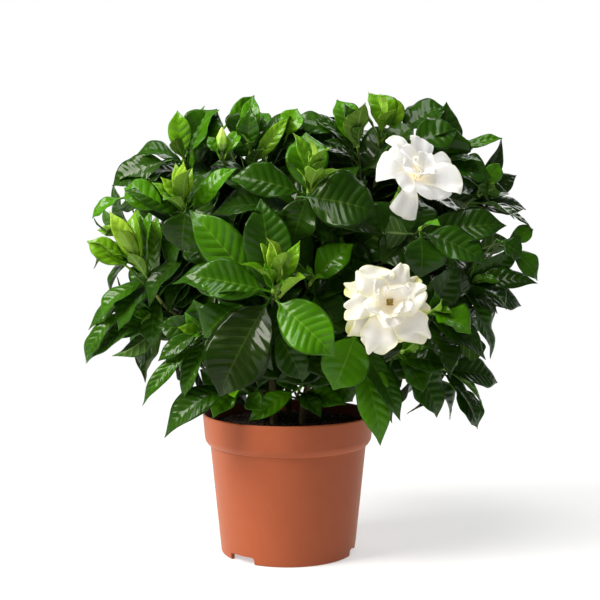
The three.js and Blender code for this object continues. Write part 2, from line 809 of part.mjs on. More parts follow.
// Pot: a turned shell with a rim band, a raised floor, a central pad, foot notches and drain holes
function turned(profile, sides) {
  const points = profile.map(([radius, height]) => new THREE.Vector2(radius, height));
  return solidFromGeometry(new THREE.LatheGeometry([...points, points[0]], sides));
}

function upright(radius, bottom, top, sides, x, y) {
  const geometry = new THREE.CylinderGeometry(radius, radius, top - bottom, sides);
  geometry.rotateX(Math.PI / 2);
  geometry.translate(x, y, (top + bottom) / 2);
  return solidFromGeometry(geometry);
}

// Turned shapes come out with their axis along Y and are stood up along Z
function stoodUp(solid) {
  return solid.rotate([90, 0, 0]);
}

function aroundPot(azimuth, radius) {
  const angle = THREE.MathUtils.degToRad(azimuth);
  return vector(Math.sin(angle) * radius, -Math.cos(angle) * radius, 0);
}

const INNER_BAND_RADIUS = RIM_RADIUS - POT_WALL;
const INNER_CREASE_RADIUS = BODY_TOP_RADIUS - POT_WALL;
const INNER_FLOOR_RADIUS = BODY_BASE_RADIUS - POT_WALL + 0.7;

function buildPot() {
  const footInner = BODY_BASE_RADIUS - FOOT_RING_WIDTH;
  const shell = stoodUp(
    turned(
      [
        [0, 0],
        [CENTRE_PAD_RADIUS, 0],
        [CENTRE_PAD_RADIUS, FLOOR_UNDERSIDE],
        [footInner, FLOOR_UNDERSIDE],
        [footInner, 0],
        [BODY_BASE_RADIUS - 0.8, 0],
        [BODY_BASE_RADIUS, 1.1],
        [BODY_TOP_RADIUS, RIM_BAND_BOTTOM],
        [BODY_TOP_RADIUS + 1.7, RIM_BAND_BOTTOM + 0.9],
        [RIM_RADIUS - 1.7, RIM_BAND_BOTTOM + 4],
        [RIM_RADIUS, POT_HEIGHT - 1.4],
        [RIM_RADIUS - 0.5, POT_HEIGHT],
        [INNER_BAND_RADIUS, POT_HEIGHT],
        [INNER_BAND_RADIUS - 1.2, RIM_BAND_BOTTOM + 4.6],
        [INNER_CREASE_RADIUS, RIM_BAND_BOTTOM + 0.6],
        [INNER_FLOOR_RADIUS, FLOOR_TOP],
        [0, FLOOR_TOP],
      ],
      POT_SIDES,
    ),
  );
  const cutters = [];
  const notchWidth = 2 * BODY_BASE_RADIUS * Math.sin(THREE.MathUtils.degToRad(NOTCH_SPAN / 2));
  for (const azimuth of NOTCH_AZIMUTHS) {
    const box = new THREE.BoxGeometry(notchWidth, FOOT_RING_WIDTH * 5, NOTCH_HEIGHT * 2);
    box.rotateZ(THREE.MathUtils.degToRad(azimuth));
    box.translate(...aroundPot(azimuth, BODY_BASE_RADIUS).toArray());
    cutters.push(solidFromGeometry(box));
  }
  for (let hole = 0; hole < DRAIN_HOLE_COUNT; hole += 1) {
    const spot = aroundPot((hole * 360) / DRAIN_HOLE_COUNT, DRAIN_HOLE_CIRCLE);
    cutters.push(upright(DRAIN_HOLE_RADIUS, FLOOR_UNDERSIDE - 2, FLOOR_TOP + 2, 8, spot.x, spot.y));
  }
  return cutters.reduce((pot, cutter) => pot.subtract(cutter), shell);
}

// Soil: fills the pot, crowned in the middle and a little uneven, with a plain hole for each stem
function buildSoil(stemFeet) {
  const crown = [];
  for (const [share, bump] of [[0.75, -0.4], [0.45, 0.5], [0, 0]]) {
    const height = THREE.MathUtils.lerp(SOIL_CROWN_HEIGHT, SOIL_EDGE_HEIGHT, share ** 2);
    crown.push([share * (INNER_BAND_RADIUS - 2), height + bump]);
  }
  const profile = [
    [0, FLOOR_TOP + TOUCH_GAP],
    [INNER_FLOOR_RADIUS - TOUCH_GAP, FLOOR_TOP + TOUCH_GAP],
    [INNER_CREASE_RADIUS - TOUCH_GAP - 0.1, RIM_BAND_BOTTOM + 0.4],
    [INNER_BAND_RADIUS - 1.2 - TOUCH_GAP - 0.1, RIM_BAND_BOTTOM + 4.8],
    [INNER_BAND_RADIUS - 0.9 - TOUCH_GAP, SOIL_EDGE_HEIGHT],
    ...crown,
  ];
  const holes = stemFeet.map((foot) =>
    upright(STEM_FOOT_RADIUS + TOUCH_GAP + 0.15, STEM_FOOT_HEIGHT - TOUCH_GAP, POT_HEIGHT, 8, foot.x, foot.y),
  );
  return holes.reduce((soil, hole) => soil.subtract(hole), stoodUp(turned(profile, POT_SIDES)));
}

// Shoots: where each stands, where it grows and which leaves it bears
function frontShoot(row, index) {
  const apex = fromPicture(row.apex, row.depth);
  const facing = vector(...row.facing).normalize();
  const count = row.leaves.length;
  const leaves = row.leaves.map((leaf, order) => {
    const lower = leaf.root ?? 1.5 + order * LEAF_STEP_ON_TWIG;
    const root = apex.clone().addScaledVector(facing, -lower);
    const random = seededRandom(index * 100 + order);
    const options = { ...leaf, fine: true, phase: random() * 6 };
    return [0, 5, -5, 10, -10, 16, -16, 23, -23].map((nudge) => {
      const tip = fromPicture(leaf.tip, row.depth + leaf.lean + nudge);
      return leafBlade(root, tip, facing, leaf.width, options);
    });
  });
  const twigLength = TWIG_SPARE_LENGTH + Math.max(6, count * LEAF_STEP_ON_TWIG);
  return { name: row.name, apex, facing, leaves, twigLength, finish: row.young ? 'young' : 'leaf' };
}

// A shoot of the rings: young leaves upright in the middle, older ones longer and lying out
function ruleShoot(ring, number, seed) {
  const random = seededRandom(seed);
  const spread = ring.count > 1 ? number / (ring.count - 1) : 0.5;
  const azimuth = THREE.MathUtils.degToRad(THREE.MathUtils.lerp(ring.from, ring.to, spread) + random() * 12 - 6);
  const elevation = THREE.MathUtils.degToRad(ring.elevation + random() * 10 - 5);
  const outward = vector(
    Math.sin(azimuth) * Math.cos(elevation),
    -Math.cos(azimuth) * Math.cos(elevation),
    Math.sin(elevation),
  );
  const apex = outward.clone().multiply(BUSH_RADII).multiplyScalar(ring.reach).add(BUSH_CENTRE);
  const facing = outward.clone().addScaledVector(UP, ring.lift).normalize();
  const sideways = facing.clone().cross(Math.abs(facing.z) > 0.9 ? vector(1, 0, 0) : UP).normalize();
  const leaves = [];
  for (let order = 0; order < RULE_LEAVES; order += 1) {
    leaves.push(ruleLeafTries(apex, facing, sideways, order, random));
  }
  const twigLength = TWIG_SPARE_LENGTH + RULE_LEAVES * LEAF_STEP_ON_TWIG;
  return { name: `shoot_${ring.name}_${number + 1}`, apex, facing, leaves, twigLength, finish: 'leaf' };
}

function ruleLeafTries(apex, facing, sideways, order, random) {
  const age = order / (RULE_LEAVES - 1);
  const root = apex.clone().addScaledVector(facing, -1.5 - order * LEAF_STEP_ON_TWIG);
  const turn = order * 137.5 + random() * 24 - 12;
  const open = THREE.MathUtils.lerp(24, 98, Math.sqrt(age)) + random() * 14 - 7;
  const length = THREE.MathUtils.lerp(30, 70, Math.min(1, age * 1.7)) * (0.88 + random() * 0.24);
  const width = length * (0.36 + random() * 0.1);
  const droop = (2 + 10 * age) * random();
  const options = { bow: 0.08 + random() * 0.07, phase: random() * 6, roll: random() * 24 - 12 };
  const tries = [];
  for (const shorter of [1, 0.85, 0.7]) {
    for (const lean of [0, -14, 14]) {
      for (const swing of [0, 18, -18, 36, -36]) {
        const spoke = sideways.clone().applyAxisAngle(facing, THREE.MathUtils.degToRad(turn + swing));
        const angle = THREE.MathUtils.degToRad(open + lean);
        const heading = facing.clone().multiplyScalar(Math.cos(angle)).addScaledVector(spoke, Math.sin(angle));
        const tip = root.clone().addScaledVector(heading, length * shorter);
        tip.z -= droop;
        if (insideBush(tip)) {
          tries.push(leafBlade(root, tip, facing, width * shorter, options));
        }
      }
    }
  }
  return tries;
}

const LOWEST_TIP = 92;

function insideBush(point) {
  const from = point.clone().sub(BUSH_CENTRE).divide(BUSH_RADII);
  return from.length() < 1 && point.z > LOWEST_TIP;
}

// Blooms: petals in rings on a short corolla, the golden heart, the green calyx and its stalk
function petalBlade(bloom, petal, centre, facing) {
  const root = centre.clone().addScaledVector(facing, petal.ring * PETAL_RING_STEP - 6);
  const tip = fromPicture(petal.tip, bloom.depth + petal.lean);
  return {
    root,
    tip,
    facing,
    width: petal.width,
    bow: petal.bow,
    roll: 0,
    fold: 0.16,
    wave: 0.12,
    phase: petal.tip[0] + petal.tip[1],
    thickness: PETAL_THICKNESS,
    outline: petalOutline,
    stations: PETAL_STATIONS,
    petiole: false,
    sunk: 0,
  };
}

function straightTube(from, to, sides, startRadius, endRadius) {
  return tube(new THREE.LineCurve3(from, to), 1, sides, startRadius, endRadius);
}

function buildBloom(bloom) {
  const centre = fromPicture(bloom.centre, bloom.depth);
  const facing = vector(...bloom.facing).normalize();
  const along = (distance) => centre.clone().addScaledVector(facing, distance);
  const back = -6 - COROLLA_LENGTH;
  const blades = bloom.petals.map((petal) => petalBlade(bloom, petal, centre, facing));
  const petals = blades.map((blade) => bladeSolid(blade, 0));
  const room = wasm.Manifold.union(blades.map((blade) => bladeSolid(blade, TOUCH_GAP)));
  const heart = straightTube(along(-2.2), along(HEART_LENGTH), 6, HEART_RADIUS * 0.75, HEART_RADIUS);
  const corolla = straightTube(along(back), along(-4), 8, CALYX_RADIUS - 0.6, COROLLA_RADIUS);
  const calyxStart = back - TOUCH_GAP;
  const calyx = straightTube(along(calyxStart - CALYX_LENGTH), along(calyxStart), 8, 1.8, CALYX_RADIUS);
  const stalkEnd = along(calyxStart - CALYX_LENGTH + 1);
  const stalkStart = along(calyxStart - CALYX_LENGTH - STALK_LENGTH);
  const stalk = straightTube(stalkStart, stalkEnd, BRANCH_SIDES, TWIG_RADIUS, 1.5);
  return {
    name: bloom.name,
    flower: fuse([corolla, ...petals]),
    calyx: fuse([calyx, stalk]),
    heart: fuse([heart.subtract(room)]),
    base: stalkStart,
    facing,
  };
}

// Stems: five main stems that lean apart, each with a branch to every shoot of its own sector
function sectorOf(point) {
  const turn = Math.atan2(point.x - BUSH_CENTRE.x * 0.3, -point.y) / (Math.PI * 2);
  return Math.floor((((turn % 1) + 1) % 1) * STEM_COUNT);
}

function stemFoot(sector) {
  return aroundPot(((sector + 0.5) * 360) / STEM_COUNT, STEM_CIRCLE_RADIUS).setZ(STEM_FOOT_HEIGHT);
}

// The main stem above its straight foot, which stands upright in the soil
function mainStemCurve(foot, top) {
  return new THREE.CubicBezierCurve3(
    foot.clone().setZ(STEM_BEND_HEIGHT - 1),
    foot.clone().setZ(STEM_BEND_HEIGHT + 30),
    top.end.clone().addScaledVector(top.facing, -45),
    top.end,
  );
}

function pointAtHeight(curve, height) {
  const points = curve.getSpacedPoints(60);
  return points.find((point) => point.z >= height) ?? points[points.length - 1];
}

function branchCurve(start, end, facing) {
  const reach = start.distanceTo(end) * 0.38;
  return new THREE.CubicBezierCurve3(
    start,
    start.clone().addScaledVector(UP, reach),
    end.clone().addScaledVector(facing, -reach),
    end,
  );
}

function buildStem(sector, ends) {
  const name = `stem_${sector + 1}`;
  const foot = stemFoot(sector);
  const highest = ends.reduce((a, b) => (b.end.z > a.end.z ? b : a));
  const trunk = mainStemCurve(foot, highest);
  const bend = foot.clone().setZ(STEM_BEND_HEIGHT);
  const solids = [
    straightTube(foot, bend, STEM_SIDES, STEM_FOOT_RADIUS, STEM_FOOT_RADIUS),
    tube(trunk, STEM_STEPS, STEM_SIDES, STEM_FOOT_RADIUS * 0.9, STEM_TOP_RADIUS),
  ];
  for (const target of ends.filter((other) => other !== highest)) {
    const sideways = Math.hypot(target.end.x - foot.x, target.end.y - foot.y);
    const height = THREE.MathUtils.clamp(target.end.z - sideways * 0.7, LOWEST_FORK, HIGHEST_FORK);
    const curve = branchCurve(pointAtHeight(trunk, height), target.end, target.facing);
    solids.push(tube(curve, BRANCH_STEPS, BRANCH_SIDES, BRANCH_RADIUS * 1.1, BRANCH_RADIUS));
  }
  solids.forEach((solid) => place(name, solid));
  addNode(name, fuse(solids), 'stem');
}

function twigBase(shoot) {
  return shoot.apex.clone().addScaledVector(shoot.facing, -shoot.twigLength);
}

function buildTwig(shoot) {
  return straightTube(twigBase(shoot), shoot.apex, BRANCH_SIDES, TWIG_RADIUS, TWIG_RADIUS * 0.7);
}

// The side twig that bears the bud, from low on its shoot up to the bud's foot
function buildBudTwig(shoot) {
  const start = shoot.apex.clone().addScaledVector(shoot.facing, -BUD_TWIG_DROP);
  const end = fromPicture(BUD.base, BUD.depth);
  end.z -= TOUCH_GAP;
  const bend = new THREE.QuadraticBezierCurve3(start, vector(end.x, end.y, start.z + 2), end);
  return tube(bend, BRANCH_STEPS, BRANCH_SIDES, TWIG_RADIUS * 0.8, TWIG_RADIUS * 0.8);
}

function buildBud() {
  const base = fromPicture(BUD.base, BUD.depth);
  const tip = fromPicture(BUD.tip, BUD.depth);
  const along = tip.clone().sub(base);
  const rings = [];
  for (const [share, swell, twist] of [[0, 0.35, 0], [0.25, 0.95, 15], [0.55, 0.85, 40], [0.82, 0.42, 70]]) {
    const ring = [];
    for (let side = 0; side < 6; side += 1) {
      const angle = THREE.MathUtils.degToRad(side * 60 + twist);
      const radius = BUD.radius * swell;
      ring.push(
        base.clone().addScaledVector(along, share).add(vector(Math.cos(angle) * radius, Math.sin(angle) * radius, 0)),
      );
    }
    rings.push(ring);
  }
  return loft(rings, tip);
}

const allShoots = [
  ...FRONT_SHOOTS.map((row, index) => frontShoot(row, index)),
  ...SHOOT_RINGS.flatMap((ring, ringIndex) =>
    Array.from({ length: ring.count }, (unused, number) =>
      ruleShoot(ring, number, RULE_SEED + ringIndex * 100 + number),
    ),
  ),
];
const blooms = BLOOMS.map(buildBloom);

const potSolid = buildPot();
place('pot', potSolid);
addNode('pot', potSolid, 'pot');

const stemFeet = Array.from({ length: STEM_COUNT }, (unused, sector) => stemFoot(sector));
const soilSolid = buildSoil(stemFeet);
place('soil', soilSolid);
addNode('soil', soilSolid, 'soil');

const stemEnds = [
  ...allShoots.map((shoot) => ({ base: twigBase(shoot), facing: shoot.facing })),
  ...blooms.map((bloom) => ({ base: bloom.base, facing: bloom.facing })),
].map(({ base, facing }) => ({ end: base.clone().addScaledVector(facing, -TOUCH_GAP), facing }));
for (let sector = 0; sector < STEM_COUNT; sector += 1) {
  buildStem(sector, stemEnds.filter((target) => sectorOf(target.end) === sector));
}

for (const bloom of blooms) {
  place(bloom.name, bloom.flower);
  place(`${bloom.name}_calyx`, bloom.calyx);
  addNode(bloom.name, bloom.flower, 'petal');
  addNode(`${bloom.name}_heart`, bloom.heart, 'heart');
  addNode(`${bloom.name}_calyx`, bloom.calyx, 'young');
}

const budSolid = buildBud();
place('flower_bud', budSolid);
addNode('flower_bud', budSolid, 'bud');

for (const shoot of allShoots) {
  shoot.twigs = [buildTwig(shoot)];
  if (shoot.name === BUD.shoot) {
    shoot.twigs.push(buildBudTwig(shoot));
  }
  shoot.twigs.forEach((twig) => place(shoot.name, twig));
}
for (const shoot of allShoots) {
  const neighbours = [];
  const solids = [...shoot.twigs];
  for (const tries of shoot.leaves) {
    const blade = firstClear(shoot.name, tries, neighbours);
    if (blade) {
      const solid = bladeSolid(blade, 0);
      place(shoot.name, solid);
      solids.push(solid);
      neighbours.push({ solid, box: solid.boundingBox() });
    }
  }
  addNode(shoot.name, fuse(solids), shoot.finish);
}

export default plant;
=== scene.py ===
"""Potted gardenia: the looks of a leafy, flowering plant in its terracotta coloured nursery pot.

Every piece is laid over its CAD node in the same frame: metres, +Z up, the pot standing on Z = 0.
The tables of shoots and blooms, and the rule of the outer shoots, are the same as in the CAD part.
"""

import itertools
import logging
import math
import random
from dataclasses import dataclass, field
from enum import Enum
from typing import Callable, Sequence

import bpy
import numpy as np
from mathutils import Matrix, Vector


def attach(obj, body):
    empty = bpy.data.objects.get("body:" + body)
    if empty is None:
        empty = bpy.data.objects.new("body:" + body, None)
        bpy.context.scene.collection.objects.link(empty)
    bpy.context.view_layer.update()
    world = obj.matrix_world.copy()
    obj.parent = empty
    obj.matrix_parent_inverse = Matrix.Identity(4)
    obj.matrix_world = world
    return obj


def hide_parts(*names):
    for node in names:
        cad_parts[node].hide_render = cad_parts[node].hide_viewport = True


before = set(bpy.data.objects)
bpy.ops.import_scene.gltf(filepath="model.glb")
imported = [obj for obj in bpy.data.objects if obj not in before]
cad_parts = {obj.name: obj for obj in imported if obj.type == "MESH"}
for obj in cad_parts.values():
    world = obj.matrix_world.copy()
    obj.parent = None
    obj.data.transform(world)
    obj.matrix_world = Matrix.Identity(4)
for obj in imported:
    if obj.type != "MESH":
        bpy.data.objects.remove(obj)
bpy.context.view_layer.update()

log = logging.getLogger("gardenia")

Array = Point = np.ndarray
Piece = bpy.types.Object
Material = bpy.types.Material
Socket = bpy.types.NodeSocket
Value = Socket | float | tuple
Spot = tuple[float, float]
Stops = Sequence[tuple[float, str]]
Shape = tuple[Array, Array]

MM = 0.001
UP = np.array([0.0, 0.0, 1.0])

# Pot, in mm
RIM_RADIUS = 60.0
POT_HEIGHT = 98.0
RIM_BAND_BOTTOM = 76.3
BODY_TOP_RADIUS = 54.8
BODY_BASE_RADIUS = 47.2
POT_WALL = 1.5
FLOOR_UNDERSIDE = 6.0
FLOOR_TOP = 7.6
FOOT_RING_WIDTH = 3.2
CENTRE_PAD_RADIUS = 9.0
NOTCH_AZIMUTHS = (-42, 78, 198)
NOTCH_SPAN = 27.0
NOTCH_HEIGHT = 5.0
DRAIN_HOLE_RADIUS = 4.0
DRAIN_HOLE_CIRCLE = 27.0
DRAIN_HOLE_COUNT = 6

# Soil and stems, in mm
SOIL_EDGE_HEIGHT = 89.0
SOIL_CROWN_HEIGHT = 93.0
STEM_FOOT_HEIGHT = 62.0
STEM_BEND_HEIGHT = 97.0
STEM_COUNT = 5
STEM_CIRCLE_RADIUS = 17.0
STEM_FOOT_RADIUS = 2.8
STEM_TOP_RADIUS = 1.5
BRANCH_RADIUS = 1.3
LOWEST_FORK = 108.0
HIGHEST_FORK = 215.0
FORK_SLOPE = 0.7
STEM_STRAIGHT_END = 45.0
BRANCH_BOW = 0.38
LEAF_SCAR_STEP = 17.0
TOUCH_GAP = 0.3

# Leaves and shoots, in mm, and turns in degrees
LEAF_STEP_ON_TWIG = 3.0
FIRST_LEAF_DROP = 1.5
GOLDEN_TURN = 137.5
TIP_NUDGES = (0, 5, -5, 10, -10, 16, -16, 23, -23)
TIP_MATCH = 0.15
LEAF_FOLD = 0.22
TWIG_SPARE_LENGTH = 9.0
TWIG_RADIUS = 1.6
BUSH_CENTRE = np.array([15.0, 0.0, 200.0])
BUSH_RADII = np.array([158.0, 142.0, 122.0])
LOWEST_TIP = 92.0
RULE_LEAVES = 8
RULE_SEED = 4021

# The eye the tables were read with, in mm and pixels of the picture plane, and its three axes
EYE = np.array([8.3, -848.5, 237.4])
EYE_PITCH = math.radians(4.08)
EYE_FOCAL_PIXELS = 1217.1
PICTURE_CENTRE_PIXELS = 300.0
EYE_RIGHT = np.array([1.0, 0.0, 0.0])
EYE_FORWARD = np.array([0.0, math.cos(EYE_PITCH), -math.sin(EYE_PITCH)])
EYE_UPWARD = np.array([0.0, math.sin(EYE_PITCH), math.cos(EYE_PITCH)])

# Blooms, in mm, and their radius on the picture plane
BLOOM_PIXELS = 46.0
PETAL_RING_STEP = 1.5
PETAL_FOOT = -6.0
COROLLA_RADIUS = 4.2
COROLLA_LENGTH = 9.0
CALYX_RADIUS = 3.4
CALYX_LENGTH = 9.0
STALK_LENGTH = 12.0
HEART_LENGTH = 6.0
CALYX_START = PETAL_FOOT - COROLLA_LENGTH - TOUCH_GAP
STALK_START = CALYX_START - CALYX_LENGTH - STALK_LENGTH


@dataclass(frozen=True)
class Leaf:
    """A leaf of a shoot of the front: its tip on the picture plane, and its shape in mm."""

    tip: Spot
    lean: float
    width: float
    bow: float = 0.1
    roll: float = 0.0
    fold: float = LEAF_FOLD
    root: float | None = None
    tone: float | None = None


@dataclass(frozen=True)
class SideLeaf:
    """A leaf on a side twig of a shoot: its root and tip on the picture plane, its shape in mm."""

    shoot: str
    root: Spot
    tip: Spot
    depth: float
    lean: float
    width: float
    tone: float
    bow: float = 0.1
    roll: float = 0.0


@dataclass(frozen=True)
class FrontShoot:
    """A listed shoot: its apex on the picture plane, its depth and its leaves."""

    name: str
    apex: Spot
    depth: float
    facing: tuple[float, float, float]
    leaves: tuple[Leaf, ...]


@dataclass(frozen=True)
class ShootRing:
    """A ring of shoots round the sides and back, at one elevation on the bush's egg shape."""

    name: str
    elevation: float
    count: int
    start: float
    end: float
    reach: float
    lift: float


@dataclass(frozen=True)
class Petal:
    """A petal: its tip on the picture plane, its shape in mm and the ring it stands in."""

    tip: Spot
    lean: float
    width: float
    bow: float
    ring: int


@dataclass(frozen=True)
class BloomRow:
    """A double bloom: its centre on the picture plane, depth and facing, how pointed and how aged
    its petals are, how wide its throat is, and the petals."""

    name: str
    centre: Spot
    depth: float
    facing: tuple[float, float, float]
    pointed: float
    aging: float
    opened: float
    petals: tuple[Petal, ...]


# The flower bud: the shoot that bears it, its foot and tip on the picture plane, the rest in mm
BUD_SHOOT = "shoot_top_left_middle"
BUD_FOOT, BUD_TIP, BUD_DEPTH = (222, 151), (222, 127), -54
BUD_RADIUS = 4.2
BUD_TWIG_DROP = 14.0

SHOOT_RINGS: tuple[ShootRing, ...] = (
    ShootRing("skirt", -30, 6, 84, 268, 0.74, 0.05),
    ShootRing("waist", 4, 5, 102, 256, 0.76, 0.3),
    ShootRing("shoulder", 36, 4, 112, 248, 0.76, 0.7),
    ShootRing("crown", 68, 2, 140, 238, 0.76, 1.0),
    ShootRing("inner", 4, 2, -40, 20, 0.42, 0.4),
)

